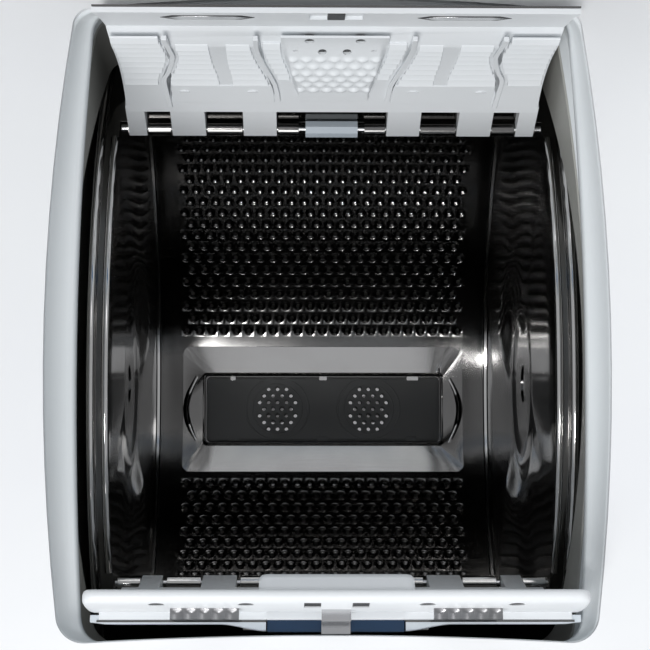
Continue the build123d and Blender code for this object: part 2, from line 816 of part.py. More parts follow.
boss_radius = 4.8
lid_side = Plane(origin=lid_frame.origin, x_dir=lid_frame.y_dir, z_dir=(1, 0, 0))
boss_length = 8.0
strike_depth = 56.0
strike_sheet = 4.0
strike_y = lock_y - lid_hinge_y
with BuildPart() as lid_liner:
    with BuildSketch(lid_frame.offset(liner_level)):
        with Locations((0, lid_middle)):
            RectangleRounded(
                2 * (lid_half - lid_wall) - seat_gap,
                lid_length - 2 * lid_wall - seat_gap,
                lid_corner - lid_wall,
            )
    extrude(amount=-liner_sheet)
    with BuildSketch(lid_frame.offset(liner_level)):
        with Locations((0, (rim_front + rim_rear) / 2)):
            RectangleRounded(2 * rim_half, rim_rear - rim_front, rim_corner)
            RectangleRounded(
                2 * (rim_half - liner_sheet),
                rim_rear - rim_front - 2 * liner_sheet,
                rim_corner - liner_sheet,
                mode=Mode.SUBTRACT,
            )
    extrude(amount=rim_bottom - liner_level)
    with BuildSketch(lid_frame.offset(liner_level)):
        with Locations((lock_x, strike_y)):
            Rectangle(18.0, strike_sheet)
    extrude(amount=-strike_depth + liner_sheet)
    for hand in (-1, 1):
        with BuildSketch(Plane.YZ.offset(hand * lug_x)):
            with Locations(lid_hinge):
                Rectangle(2 * lug_space, 2 * lug_space)
        extrude(amount=lug_width / 2 + lug_clearance, both=True, mode=Mode.SUBTRACT)
    for side in (-1, 1):
        for edge in (-1, 1):
            face = side * lug_x + edge * (lug_width / 2 + lug_clearance)
            with BuildSketch(lid_side.offset(face)):
                RegularPolygon(boss_radius, loop_sides, major_radius=False, rotation=180.0 / loop_sides)
                with Locations((0, liner_level / 2)):
                    Rectangle(2 * boss_radius, -liner_level)
            extrude(amount=edge * boss_length)
    with BuildSketch(Plane.YZ):
        with Locations(lid_hinge):
            Circle(lid_pin_radius + running_gap)
    extrude(amount=half_width, both=True, mode=Mode.SUBTRACT)
keep(lid_liner, "lid_liner")

# Detergent tray, open towards the room when the lid is up, with a cover over the lower half of its pockets
tray_bottom = liner_level - liner_sheet
tray_middle = (tray_front + tray_rear) / 2
tray_length = tray_rear - tray_front
tray_corner = 10.0
cover_front = -200.0
divider_places = [-38.0, 34.0]
with BuildPart() as detergent_tray:
    with BuildSketch(lid_frame.offset(tray_bottom)):
        with Locations((0, tray_middle)):
            RectangleRounded(2 * tray_half, tray_length, 12.0)
    extrude(amount=-tray_depth)
    with BuildSketch(lid_frame.offset(tray_bottom - tray_wall)):
        with Locations((0, tray_middle)):
            RectangleRounded(2 * (tray_half - tray_wall), tray_length - 2 * tray_wall, 10.0)
    extrude(amount=-tray_depth, mode=Mode.SUBTRACT)
    with BuildSketch(lid_frame.offset(tray_bottom - tray_wall)):
        with Locations(*[(place, tray_middle) for place in divider_places]):
            Rectangle(tray_wall, tray_length - tray_wall)
    extrude(amount=-tray_depth + 2 * tray_wall + seat_gap)
keep(detergent_tray, "detergent_tray")

with BuildPart() as tray_cover:
    with BuildSketch(lid_frame.offset(tray_bottom - tray_depth)) as cover_plan:
        with BuildLine():
            Polyline(
                (-tray_half + tray_wall + seat_gap, cover_front),
                (-tray_half + tray_wall + seat_gap, tray_rear - tray_wall - seat_gap),
                (tray_half - tray_wall - seat_gap, tray_rear - tray_wall - seat_gap),
                (tray_half - tray_wall - seat_gap, cover_front),
            )
            ThreePointArc(
                (tray_half - tray_wall - seat_gap, cover_front),
                (0, cover_front + 22.0),
                (-tray_half + tray_wall + seat_gap, cover_front),
            )
        make_face()
        chamfer(cover_plan.vertices().group_by(Axis.Y)[-1], tray_corner)
    extrude(amount=tray_wall)
keep(tray_cover, "tray_cover")

# Tub: a shell with a neck under the mouth and a sump below, closed by two ends
tub_outer = tub_radius + tub_wall
neck_root = 150.0
sump_floor = tub_outer + sump_depth
sump_wall = 3.0
sump_mouth_y = -52.0
sump_spigot_radius = 14.0
sump_spigot_drop = 22.0
damper_pad = 12.0
damper_lug_low = 300.0
cuff_reach = neck_wall + rubber + 2 * seat_gap
with BuildPart() as tub_shell:
    with BuildSketch(across):
        Circle(tub_outer)
    extrude(amount=tub_half, both=True)
    with BuildSketch(across):
        sector(tub_radius, sump_floor, sump_start, sump_end)
    extrude(amount=sump_half, both=True)
    extrude(neck(cuff_low - seat_gap, cuff_reach).sketch, amount=neck_top - cuff_low, mode=Mode.SUBTRACT)
    extrude(neck(neck_root, neck_wall).sketch, amount=neck_top - neck_root)
    with BuildSketch(Plane.XY.offset(damper_lug_low)):
        with Locations(*damper_places):
            Rectangle(2 * damper_pad, 2 * damper_pad)
    extrude(amount=60.0)
    with BuildSketch(Plane.XY.offset(drum_height - sump_floor - sump_spigot_drop)):
        with Locations((0, drum_y + sump_mouth_y)):
            Circle(sump_spigot_radius)
    extrude(amount=sump_spigot_drop + 20.0)
    with BuildSketch(across):
        Circle(tub_radius)
    extrude(amount=tub_half, both=True, mode=Mode.SUBTRACT)
    with BuildSketch(across):
        sector(tub_radius - 10.0, sump_floor - sump_wall, sump_start + 0.7, sump_end - 0.7)
    extrude(amount=sump_half - sump_wall, both=True, mode=Mode.SUBTRACT)
    extrude(neck(neck_root).sketch, amount=neck_top - neck_root, mode=Mode.SUBTRACT)
    with BuildSketch(Plane.XY.offset(drum_height - sump_floor - sump_spigot_drop)):
        with Locations((0, drum_y + sump_mouth_y)):
            Circle(sump_spigot_radius - sump_wall)
    extrude(amount=sump_spigot_drop + 20.0, mode=Mode.SUBTRACT)
keep(tub_shell, "tub_shell")

peg_radius = 5.0
peg_height = spring_bottom
rib_count = 8
rib_thickness = 4.0
rib_outer = 236.0
seal_radius = shaft_radius + 1.5


def tub_end(hand):
    """One end of the tub, with its bearing hub, ribs and the pegs that the springs hook on."""
    with BuildPart() as piece:
        with BuildSketch(across.offset(hand * tub_half)):
            Circle(tub_outer + tub_flange)
        extrude(amount=hand * end_wall)
        with BuildSketch(across.offset(hand * (tub_half + end_wall))):
            Circle(hub_radius)
        extrude(amount=hand * (hub_end - tub_half - end_wall))
        with BuildSketch(across.offset(hand * (tub_half + end_wall))):
            with PolarLocations((hub_radius + rib_outer) / 2, rib_count, start_angle=22.5):
                Rectangle(rib_outer - hub_radius + 2.0, rib_thickness)
        extrude(amount=hand * 8.0)
        with BuildSketch(across.offset(hand * (tub_half + end_wall))):
            with Locations(*[(side * spring_offset, peg_height - drum_height) for side in (-1, 1)]):
                RegularPolygon(peg_radius, loop_sides)
        extrude(amount=hand * (spring_x + 6.0 - tub_half - end_wall))
        extrude(neck(neck_root, neck_wall).sketch, amount=neck_top - neck_root, mode=Mode.SUBTRACT)
        extrude(neck(cuff_low - seat_gap, cuff_reach).sketch, amount=neck_top - cuff_low, mode=Mode.SUBTRACT)
        with BuildSketch(across.offset(hand * tub_half)):
            Circle(seal_radius)
        extrude(amount=hand * 60.0, mode=Mode.SUBTRACT)
        with BuildSketch(across.offset(hand * bearing_inner)):
            Circle(bearing_radius)
        extrude(amount=hand * 60.0, mode=Mode.SUBTRACT)
    return piece


keep(tub_end(-1), "left_tub_end")
keep(tub_end(1), "right_tub_end")

with BuildPart() as drum_bearings:
    for hand in (-1, 1):
        with BuildSketch(across.offset(hand * bearing_inner)):
            Circle(bearing_radius)
            Circle(shaft_radius + running_gap / 2, mode=Mode.SUBTRACT)
        extrude(amount=hand * bearing_width)
keep(drum_bearings, "drum_bearings")

# Counterweights, cast to the curve of the tub, at its lower front and lower rear
weight_half = tub_half - 22.0
weight_start = 98.0
weight_end = 134.0
weight_thickness = 26.0
with BuildPart() as counterweights:
    with BuildSketch(across):
        sector(tub_outer + seat_gap, tub_outer + weight_thickness, weight_start, weight_end)
        sector(tub_outer + seat_gap, tub_outer + weight_thickness, -weight_end, -weight_start)
    extrude(amount=weight_half, both=True)
keep(counterweights, "counterweights")

# Heater, a loop of tube in the sump with its flange at the right end
heater_radius = 3.3
heater_ring = tub_radius + 12.0
heater_spread = 18.0
heater_turn = 190.0
heater_end = -96.0
with BuildPart() as heater:
    heater_height = drum_height - heater_ring * cos(radians(heater_turn - 180.0))
    heater_y = drum_y - heater_ring * sin(radians(heater_turn - 180.0))
    with BuildSketch(Plane.YZ.offset(heater_end)):
        with Locations(*[(heater_y + side * heater_spread, heater_height) for side in (-1, 1)]):
            RegularPolygon(heater_radius, 6)
    extrude(amount=sump_half - sump_wall - heater_end)
    with BuildSketch(Plane.XZ.offset(-heater_y)):
        with Locations((heater_end, heater_height)):
            RegularPolygon(heater_radius, 6)
    extrude(amount=heater_spread, both=True)
keep(heater, "heater")

# Motor, hung from a saddle under the tub
motor_point = polar(motor_distance, motor_angle)
saddle_width = 12.0
saddle_places = [-124.0, -38.0]
motor_shaft_start = 3.0
with BuildPart() as motor_bracket:
    for place in saddle_places:
        with BuildSketch(across.offset(place - saddle_width / 2)):
            sector(tub_outer + seat_gap, motor_distance + 6.0, motor_angle - 7.0, motor_angle + 7.0)
            with Locations(motor_point):
                Circle(motor_radius, mode=Mode.SUBTRACT)
        extrude(amount=saddle_width)
keep(motor_bracket, "motor_bracket")

with BuildPart() as motor_housing:
    with BuildSketch(across.offset(motor_start)):
        with Locations(motor_point):
            Circle(motor_radius)
    extrude(amount=motor_end - motor_start)
    with BuildSketch(across.offset(motor_start)):
        with Locations(motor_point):
            Circle(motor_shaft_radius + running_gap / 2)
    extrude(amount=motor_end - motor_start - 10.0, mode=Mode.SUBTRACT)
keep(motor_housing, "motor_housing")

with BuildPart() as motor_rotor:
    with BuildSketch(across.offset(pulley_middle - pulley_width / 2)):
        with Locations(motor_point):
            Circle(motor_pulley_radius)
    extrude(amount=pulley_width)
    with BuildSketch(across.offset(pulley_middle)):
        with Locations(motor_point):
            Circle(motor_shaft_radius)
    extrude(amount=motor_end - 10.0 - motor_shaft_start - pulley_middle)
keep(motor_rotor, "motor_rotor")

with BuildPart() as drive_belt:
    with BuildSketch(across.offset(pulley_middle - belt_width / 2)) as belt_loop:
        Circle(pulley_radius + seat_gap + belt_thickness)
        with Locations(motor_point):
            Circle(motor_pulley_radius + seat_gap + belt_thickness)
        make_hull()
    with BuildSketch(across.offset(pulley_middle - belt_width / 2)) as belt_space:
        Circle(pulley_radius + seat_gap)
        with Locations(motor_point):
            Circle(motor_pulley_radius + seat_gap)
        make_hull()
    extrude(belt_loop.sketch - belt_space.sketch, amount=belt_width)
keep(drive_belt, "drive_belt")

# Suspension: dampers under the tub, springs beside it
damper_rod_low = 108.0
damper_top = 205.0
with BuildPart() as damper_cylinders:
    with BuildSketch(Plane.XY.offset(damper_seat)):
        with Locations(*damper_places):
            Circle(damper_radius)
    extrude(amount=damper_top - damper_seat)
    with BuildSketch(Plane.XY.offset(damper_seat + 8.0)):
        with Locations(*damper_places):
            Circle(damper_rod_radius + running_gap / 2)
    extrude(amount=damper_top - damper_seat - 8.0, mode=Mode.SUBTRACT)
keep(damper_cylinders, "damper_cylinders")

with BuildPart() as damper_rods:
    with BuildSketch(Plane.XY.offset(damper_rod_low)):
        with Locations(*damper_places):
            Circle(damper_rod_radius)
    extrude(amount=damper_lug_low - damper_rod_low)
keep(damper_rods, "damper_rods")

spring_places = [
    (hand * spring_x, drum_y + side * spring_offset) for hand in (-1, 1) for side in (-1, 1)
]
bracket_half = 18.0
bracket_sheet = 2.0
eye_radius = peg_radius + seat_gap + 0.5
eye_wall = 3.0
eye_sheet = 3.0
spring_wall = 3.0
with BuildPart() as spring_brackets:
    for hand in (-1, 1):
        panel_face = hand * (half_width - sheet_steel)
        with BuildSketch(Plane.YZ.offset(panel_face)):
            with Locations(*[(drum_y + side * spring_offset, spring_top) for side in (-1, 1)]):
                Rectangle(2 * bracket_half, 2 * bracket_half)
        extrude(amount=-hand * bracket_sheet)
        with BuildSketch(Plane.YZ.offset(panel_face)):
            with Locations(*[(drum_y + side * spring_offset, spring_top) for side in (-1, 1)]):
                RegularPolygon(peg_radius, loop_sides)
        extrude(amount=-hand * (half_width - sheet_steel - spring_x + 6.0))
keep(spring_brackets, "spring_brackets")

with BuildPart() as suspension_springs:
    with BuildSketch(Plane.XY.offset(spring_bottom + 14.0)):
        with Locations(*spring_places):
            RegularPolygon(spring_radius, 6)
            RegularPolygon(spring_radius - spring_wall, 6, mode=Mode.SUBTRACT)
    extrude(amount=spring_top - spring_bottom - 28.0)
    for hand in (-1, 1):
        for level, reach in ((spring_bottom, 1), (spring_top, -1)):
            with BuildSketch(Plane.YZ.offset(hand * spring_x - eye_sheet / 2)):
                for side in (-1, 1):
                    with Locations((drum_y + side * spring_offset, level + reach * 9.0)):
                        Rectangle(2 * spring_radius, 12.0)
                    with Locations((drum_y + side * spring_offset, level)):
                        RegularPolygon(eye_radius + eye_wall, loop_sides)
                        RegularPolygon(eye_radius, loop_sides, mode=Mode.SUBTRACT)
            extrude(amount=eye_sheet)
keep(suspension_springs, "suspension_springs")

# Hose from the sump to the pump
hose_wall = 2.5
hose_top = drum_height - sump_floor - sump_spigot_drop
with BuildPart() as sump_hose:
    hose_ends = [(0, drum_y + sump_mouth_y, hose_top), (pump_x, spigot_y, spigot_top)]
    for outer, mode in ((sump_spigot_radius + hose_wall, Mode.ADD), (sump_spigot_radius, Mode.SUBTRACT)):
        with BuildSketch(Plane(origin=hose_ends[0])) as upper_ring:
            Circle(outer)
        with BuildSketch(Plane(origin=hose_ends[1])) as lower_ring:
            Circle(outer)
        loft([upper_ring.sketch.face(), lower_ring.sketch.face()], ruled=True, mode=mode)
keep(sump_hose, "sump_hose")

# Drum: a rolled sheet, open between its two doors, whose edges are rolled into loops round the hinge rods
drum_outer = drum_radius + drum_sheet
edge_reach = 1.6
tab_reach = 0.7
tab_inset = 0.1
rear_edge = rear_hinge_angle + edge_reach
front_edge = front_hinge_angle - edge_reach
rear_shell_loops = [(18.8, 30.9), (51.2, 71.5), (92.2, 105.4)]
rear_door_loops = [(31.5, 50.6), (72.1, 91.6), (106.0, 117.0)]
front_shell_loops = [(39.0, 51.0), (73.0, 92.0), (106.7, 119.6)]
front_door_loops = [(53.0, 72.0), (94.4, 106.0)]
hole_depth = 4.0


def turned_frame(hinge_angle, turn):
    """A frame at a hinge rod, square to it, whose first direction is turned from the rear by an angle."""
    point = axis_point + Vector(0, *polar(hinge_radius, hinge_angle))
    return Plane(origin=point, x_dir=(0, cos(radians(turn)), sin(radians(turn))), z_dir=(1, 0, 0))


def face_plane(frame, centre, angle, radius):
    """A plane that faces outwards at an angle and a radius, on the drum or on a turned door."""
    spot = polar(radius, angle, centre)
    place = frame.origin + frame.x_dir * spot[0] + frame.y_dir * spot[1]
    outwards = frame.x_dir * sin(radians(angle)) + frame.y_dir * cos(radians(angle))
    return Plane(origin=place, x_dir=(1, 0, 0), z_dir=outwards)


def add_loops(frame, centre, hinge_angle, sheet, edge, spans, bore):
    """Adds loops to a sheet, from its edge round its hinge rod, to the part that is open."""
    side = 1 if edge > hinge_angle else -1
    ends = sorted((hinge_angle + side * tab_reach, edge + side * 0.2))
    for hand in (-1, 1):
        for near, far in spans:
            with BuildSketch(frame.offset(hand * near)) as loop:
                sector(sheet + tab_inset, sheet + drum_sheet - tab_inset, *ends, centre)
                with Locations(polar(hinge_radius, hinge_angle, centre)):
                    RegularPolygon(loop_radius, loop_sides)
                    RegularPolygon(bore, loop_sides, major_radius=False, mode=Mode.SUBTRACT)
            extrude(loop.sketch, amount=hand * (far - near))


rear_centre = polar(hinge_radius, rear_hinge_angle)
front_centre = polar(hinge_radius, front_hinge_angle)
no_centre = (0.0, 0.0)
with BuildPart() as drum_shell:
    with BuildSketch(across):
        Circle(drum_outer)
        Circle(drum_radius, mode=Mode.SUBTRACT)
    extrude(amount=drum_half, both=True)
    with BuildSketch(across):
        sector(drum_radius - hole_depth, drum_outer + hole_depth, front_edge, rear_edge)
    extrude(amount=door_cut_half, both=True, mode=Mode.SUBTRACT)
    add_loops(across, no_centre, rear_hinge_angle, drum_radius, rear_edge, rear_shell_loops, rod_radius)
    add_loops(across, no_centre, front_hinge_angle, drum_radius, front_edge, front_shell_loops, rod_radius)
    for first, last in (hole_rows_front, hole_rows_rear):
        row_count = round((last - first) / hole_step) + 1
        for row in range(row_count):
            row_plane = face_plane(across, no_centre, first + row * hole_step, drum_radius - hole_depth / 2)
            with BuildSketch(row_plane) as row_holes:
                with Locations((hole_pitch_x / 4 * (1 if row % 2 else -1), 0)):
                    with GridLocations(hole_pitch_x, 1.0, hole_columns, 1):
                        RegularPolygon(hole_across / 2, 4)
            extrude(amount=hole_depth, mode=Mode.SUBTRACT)
keep(drum_shell, "drum_shell")

profile_plane = Plane(origin=axis_point, x_dir=(1, 0, 0), z_dir=(0, -1, 0))


def drum_end(hand):
    """An end of the drum, a sheet with a rolled bead round its rim that takes the edge of the shell."""
    sheet_inner = bead_half - drum_sheet
    points = [
        (bead_half, shaft_radius),
        (bead_half, bead_radius),
        (drum_half, bead_radius),
        (drum_half, drum_radius),
        (sheet_inner, drum_radius),
        (sheet_inner, shaft_radius),
    ]
    with BuildPart() as piece:
        with BuildSketch(profile_plane):
            with BuildLine():
                Polyline(*[(hand * across_x, radius) for across_x, radius in points], close=True)
            make_face()
        revolve(axis=drum_axis)
    return piece


keep(drum_end(-1), "left_drum_end")
keep(drum_end(1), "right_drum_end")

shaft_left = pulley_middle - 8.5
shaft_right = hub_end - 1.0
with BuildPart() as drum_shafts:
    for hand, shaft_stop in ((-1, -shaft_left), (1, shaft_right)):
        with BuildSketch(across.offset(hand * bead_half)):
            RegularPolygon(shaft_flange_radius, 12)
        extrude(amount=hand * shaft_flange)
        with BuildSketch(across.offset(hand * bead_half)):
            Circle(shaft_radius)
        extrude(amount=hand * (shaft_stop - bead_half))
keep(drum_shafts, "drum_shafts")

pulley_hub = 20.0
pulley_rim = 8.0
spoke_count = 5
spoke_width = 26.0
spoke_thickness = 6.0
rim_sides = 30
with BuildPart() as drum_pulley:
    with BuildSketch(across.offset(pulley_middle - pulley_width / 2)):
        Circle(pulley_radius)
        RegularPolygon(pulley_radius - pulley_rim, rim_sides, mode=Mode.SUBTRACT)
        RegularPolygon(pulley_hub, 2 * spoke_count)
    extrude(amount=pulley_width)
    with BuildSketch(across.offset(pulley_middle - spoke_thickness / 2)):
        with PolarLocations((pulley_radius - pulley_rim / 2) / 2, spoke_count):
            Rectangle(pulley_radius - pulley_rim / 2, spoke_width)
    extrude(amount=spoke_thickness)
    with BuildSketch(across.offset(pulley_middle - pulley_width / 2)):
        Circle(shaft_radius)
    extrude(amount=pulley_width, mode=Mode.SUBTRACT)
keep(drum_pulley, "drum_pulley")

# Lifter, a ribbed plate with two round grilles, on the plain band at the bottom of the drum
lifter_wall = 2.0
lifter_slope = 2.5
lifter_rim = 2 * lifter_slope + lifter_wall
lifter_seat = sqrt((drum_radius - seat_gap / 2) ** 2 - (lifter_width / 2) ** 2)
grille_places = [(-grille_spacing / 2, 0), (grille_spacing / 2, 0)]
lifter_plane = Plane(origin=axis_point - Vector(0, 0, lifter_seat))
with BuildPart() as lifter:
    with BuildSketch(lifter_plane):
        Rectangle(lifter_length, lifter_width)
    extrude(amount=lifter_depth)
    chamfer(lifter.faces().sort_by(Axis.Z)[-1].edges(), lifter_slope)
    with BuildSketch(lifter_plane):
        Rectangle(lifter_length - lifter_rim, lifter_width - lifter_rim)
    extrude(amount=lifter_depth - lifter_wall, mode=Mode.SUBTRACT)
    with BuildSketch(lifter_plane):
        with Locations(*grille_places):
            RegularPolygon(grille_hole / 2, 6)
            with PolarLocations(grille_pitch, 6):
                RegularPolygon(grille_hole / 2, 6)
    extrude(amount=lifter_depth, mode=Mode.SUBTRACT)
keep(lifter, "lifter")

rod_half = door_cut_half - 1.5
with BuildPart() as hinge_rods:
    with BuildSketch(across):
        with Locations(rear_centre, front_centre):
            Circle(rod_radius)
    extrude(amount=rod_half, both=True)
keep(hinge_rods, "hinge_rods")

spring_cover_half = 15.0
cover_sheet = 1.2
with BuildPart() as door_spring_cover:
    with BuildSketch(across):
        sector(drum_outer, drum_outer + cover_sheet, rear_edge - 0.6, rear_edge + 2.4)
        with Locations(rear_centre):
            RegularPolygon(loop_radius + cover_sheet, loop_sides)
            RegularPolygon(rod_radius, loop_sides, major_radius=False, mode=Mode.SUBTRACT)
    extrude(amount=spring_cover_half, both=True)
keep(door_spring_cover, "door_spring_cover")

# Drum doors, drawn as they lie when closed, in frames at their hinges that are turned open
rear_frame = turned_frame(rear_hinge_angle, -rear_door_turn)
front_frame = turned_frame(front_hinge_angle, front_door_turn)
door_bore = rod_radius + running_gap / 2
skin_inner = door_outer - door_skin
liner_reach = 2.0
outline_depth = 110.0


def door_outline(frame, centre, root, free):
    """The outline of a door seen from outside the drum, narrowest at its waist."""
    plane = face_plane(frame, centre, 0.0, door_outer + door_skin)
    half_way = root + 0.35 * (free - root)
    with BuildSketch(plane) as outline:
        with BuildLine():
            Line((-door_root_half, root), (door_root_half, root))
            ThreePointArc((door_root_half, root), (door_waist_half, half_way), (door_free_half, free))
            Line((door_free_half, free), (-door_free_half, free))
            ThreePointArc((-door_free_half, free), (-door_waist_half, half_way), (-door_root_half, root))
        make_face()
    return outline


def slots(frame, centre):
    """The pointed slots in the rear door for the tongues of the front door."""
    middle = (slot_near + slot_far) / 2
    with BuildSketch(face_plane(frame, centre, slot_angle, door_outer + hole_depth)) as cut:
        with Locations((-middle, 0), (middle, 0)):
            SlotOverall(slot_far - slot_near, slot_width)
    return cut


rear_root = door_outer * sin(radians(rear_hinge_angle))
rear_free = door_outer * sin(radians(rear_lap_edge)) - 1.0
through_half = 8.0
with BuildPart() as rear_door_skin:
    with BuildSketch(rear_frame):
        sector(skin_inner, door_outer, rear_lap_edge, rear_hinge_angle - edge_reach, rear_centre)
    extrude(amount=door_free_half, both=True)
    extrude(
        door_outline(rear_frame, rear_centre, rear_root, rear_free).sketch,
        amount=-outline_depth,
        mode=Mode.INTERSECT,
    )
    add_loops(
        rear_frame,
        rear_centre,
        rear_hinge_angle,
        skin_inner,
        rear_hinge_angle - edge_reach,
        rear_door_loops,
        door_bore,
    )
    extrude(slots(rear_frame, rear_centre).sketch, amount=-3 * hole_depth, mode=Mode.SUBTRACT)
    with BuildSketch(rear_frame):
        sector(door_inner, door_outer + 1.0, window_near, window_far, rear_centre)
    extrude(amount=through_half, both=True, mode=Mode.SUBTRACT)
keep(rear_door_skin, "rear_door_skin")

bump_half = 26.0
bump_inner = 221.0
bump_start = 6.5
bump_end = 23.9
front_bump_half = 38.0
front_bump_inner = 220.5
front_bump_start = -22.0
front_bump_end = 1.0
rear_liner_start = lap_radius + 0.3
with BuildPart() as rear_door_liner:
    with BuildSketch(rear_frame):
        sector(door_inner, skin_inner, rear_lap_start, rear_hinge_angle - liner_reach, rear_centre)
        sector(rear_liner_start, skin_inner, rear_lap_edge, rear_lap_start, rear_centre)
    extrude(amount=door_free_half, both=True)
    extrude(
        door_outline(rear_frame, rear_centre, rear_root, rear_free).sketch,
        amount=-outline_depth,
        mode=Mode.INTERSECT,
    )
    with BuildSketch(rear_frame):
        sector(bump_inner, door_inner, bump_start, bump_end, rear_centre)
    extrude(amount=bump_half, both=True)
    extrude(slots(rear_frame, rear_centre).sketch, amount=-3 * hole_depth, mode=Mode.SUBTRACT)
    with BuildSketch(rear_frame):
        sector(door_inner, door_outer, window_near, window_far, rear_centre)
    extrude(amount=through_half, both=True, mode=Mode.SUBTRACT)
    with BuildSketch(rear_frame):
        sector(door_inner, skin_inner - 1.2, window_near, window_far, rear_centre)
    extrude(amount=window_half, both=True, mode=Mode.SUBTRACT)
keep(rear_door_liner, "rear_door_liner")

front_root = -door_outer * sin(radians(-front_hinge_angle))
front_free = door_outer * sin(radians(front_lap_edge)) + 1.0
recess_half = button_half + 0.5
recess_floor = 233.7
recess_start = button_end - 0.2
recess_end = button_start + 0.2
groove_floor = 231.0
groove_half = through_half
groove_start = button_start - 0.1
groove_end = -0.6
cheek_far = 46.0
cheek_rise = 3.5
with BuildPart() as front_door_skin:
    with BuildSketch(front_frame):
        sector(skin_inner, door_outer, front_hinge_angle + edge_reach, front_lap_start, front_centre)
    extrude(amount=door_free_half, both=True)
    extrude(
        door_outline(front_frame, front_centre, front_root, front_free).sketch,
        amount=-outline_depth,
        mode=Mode.INTERSECT,
    )
    add_loops(
        front_frame,
        front_centre,
        front_hinge_angle,
        skin_inner,
        front_hinge_angle + edge_reach,
        front_door_loops,
        door_bore,
    )
    with BuildSketch(front_frame):
        sector(door_outer, door_outer + cheek_rise, button_end, button_start, front_centre)
    extrude(amount=cheek_far, both=True)
    with BuildSketch(front_frame):
        sector(recess_floor, door_outer + 2 * cheek_rise, recess_start - 1.0, recess_end + 1.0, front_centre)
    extrude(amount=recess_half, both=True, mode=Mode.SUBTRACT)
keep(front_door_skin, "front_door_skin")

front_bar_outer = rear_liner_start - lap_gap
with BuildPart() as front_door_liner:
    with BuildSketch(front_frame):
        sector(door_inner, skin_inner, front_hinge_angle + liner_reach, front_lap_start, front_centre)
        sector(door_inner, front_bar_outer, front_lap_start, front_lap_edge, front_centre)
    extrude(amount=door_free_half, both=True)
    extrude(
        door_outline(front_frame, front_centre, front_root, front_free).sketch,
        amount=-outline_depth,
        mode=Mode.INTERSECT,
    )
    with BuildSketch(front_frame):
        sector(front_bump_inner, door_inner, front_bump_start, front_bump_end, front_centre)
    extrude(amount=front_bump_half, both=True)
    with BuildSketch(front_frame):
        sector(recess_floor, door_outer, recess_start, recess_end, front_centre)
    extrude(amount=recess_half, both=True, mode=Mode.SUBTRACT)
    with BuildSketch(front_frame):
        sector(groove_floor, door_outer, groove_start, groove_end, front_centre)
    extrude(amount=groove_half, both=True, mode=Mode.SUBTRACT)
keep(front_door_liner, "front_door_liner")

tongue_start = -0.9
tongue_end = 0.1
tongue_top = 240.6
with BuildPart() as catch_tongues:
    for hand in (-1, 1):
        with BuildSketch(front_frame.offset(hand * tongue_near)):
            sector(front_bar_outer, tongue_top, tongue_start, tongue_end, front_centre)
        extrude(amount=hand * (tongue_far - tongue_near))
keep(catch_tongues, "catch_tongues")

# Latch on the front door: a button, and a hook bent from strip that reaches through the rear door's window
button_inner = 236.5
button_outer = 244.5
hook_low = 234.0
hook_high = 241.0
hook_drop = -4.45
hook_turn = hook_drop + degrees(hook_sheet / button_inner)
hook_nose = -0.9
with BuildPart() as latch_button:
    with BuildSketch(front_frame):
        sector(button_inner, button_outer, button_end, button_start, front_centre)
    extrude(amount=button_half, both=True)
keep(latch_button, "latch_button")

with BuildPart() as latch_hook:
    with BuildSketch(front_frame):
        sector(button_outer, button_outer + hook_sheet, hook_drop - 1.6, hook_turn, front_centre)
        sector(hook_low, button_outer + hook_sheet, hook_drop, hook_turn, front_centre)
        sector(hook_low, hook_low + hook_sheet, hook_drop, hook_nose, front_centre)
        sector(hook_low, hook_high, hook_nose - (hook_turn - hook_drop), hook_nose, front_centre)
    extrude(amount=hook_half, both=True)
keep(latch_hook, "latch_hook")
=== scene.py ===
import math

import bmesh
import bpy
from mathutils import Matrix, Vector


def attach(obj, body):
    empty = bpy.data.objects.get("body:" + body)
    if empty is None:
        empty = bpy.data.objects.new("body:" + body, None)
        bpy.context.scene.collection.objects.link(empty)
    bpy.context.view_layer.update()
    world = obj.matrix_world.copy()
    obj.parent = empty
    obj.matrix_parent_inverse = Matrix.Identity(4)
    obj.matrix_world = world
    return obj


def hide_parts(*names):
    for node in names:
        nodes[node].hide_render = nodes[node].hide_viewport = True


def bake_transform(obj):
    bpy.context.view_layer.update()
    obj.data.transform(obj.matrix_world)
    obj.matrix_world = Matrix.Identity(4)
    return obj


# A top-loading washing machine, seen from above into its open drum. The frame is that of the CAD model; the
# sizes here are millimetres, which the last step of each place turns into metres.
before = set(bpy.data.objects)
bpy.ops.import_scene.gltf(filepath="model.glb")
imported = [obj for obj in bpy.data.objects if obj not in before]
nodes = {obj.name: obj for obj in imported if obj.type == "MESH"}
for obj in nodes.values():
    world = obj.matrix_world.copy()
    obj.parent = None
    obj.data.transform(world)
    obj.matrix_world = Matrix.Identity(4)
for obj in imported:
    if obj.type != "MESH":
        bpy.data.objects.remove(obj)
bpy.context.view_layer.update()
mm = 0.001

# Camera, straight above the front half of the drum and tilted a little towards the rear
drum_y, drum_z = -15.0, 528.0
camera_place = (-18.0, drum_y - 95.5, drum_z + 1218.0)
camera_tilt = 6.36
camera_roll = -0.8
camera_lens = 99.7
camera_sensor = 36.0

# Drum, its doors and their hinges
drum_radius = 235.0
drum_half = 130.0
door_cut_half = 122.5
rear_hinge, rear_turn = 34.0, -84.6
front_hinge, front_turn = -32.5, 78.0
hinge_radius = 237.0
rod_radius = 2.0
door_inner = 229.0
skin_inner = 239.0


# Places

def polar(radius, angle):
    """A point round the drum's axis, its angle in degrees from straight up towards the rear."""
    turn = math.radians(angle)
    return radius * math.sin(turn), radius * math.cos(turn)


def on_drum(x, y, z):
    """A place on the drum, measured from its axis."""
    return Vector((x, drum_y + y, drum_z + z)) * mm


def on_cabinet(x, y, z):
    """A place in the frame of the cabinet."""
    return Vector((x, y, z)) * mm


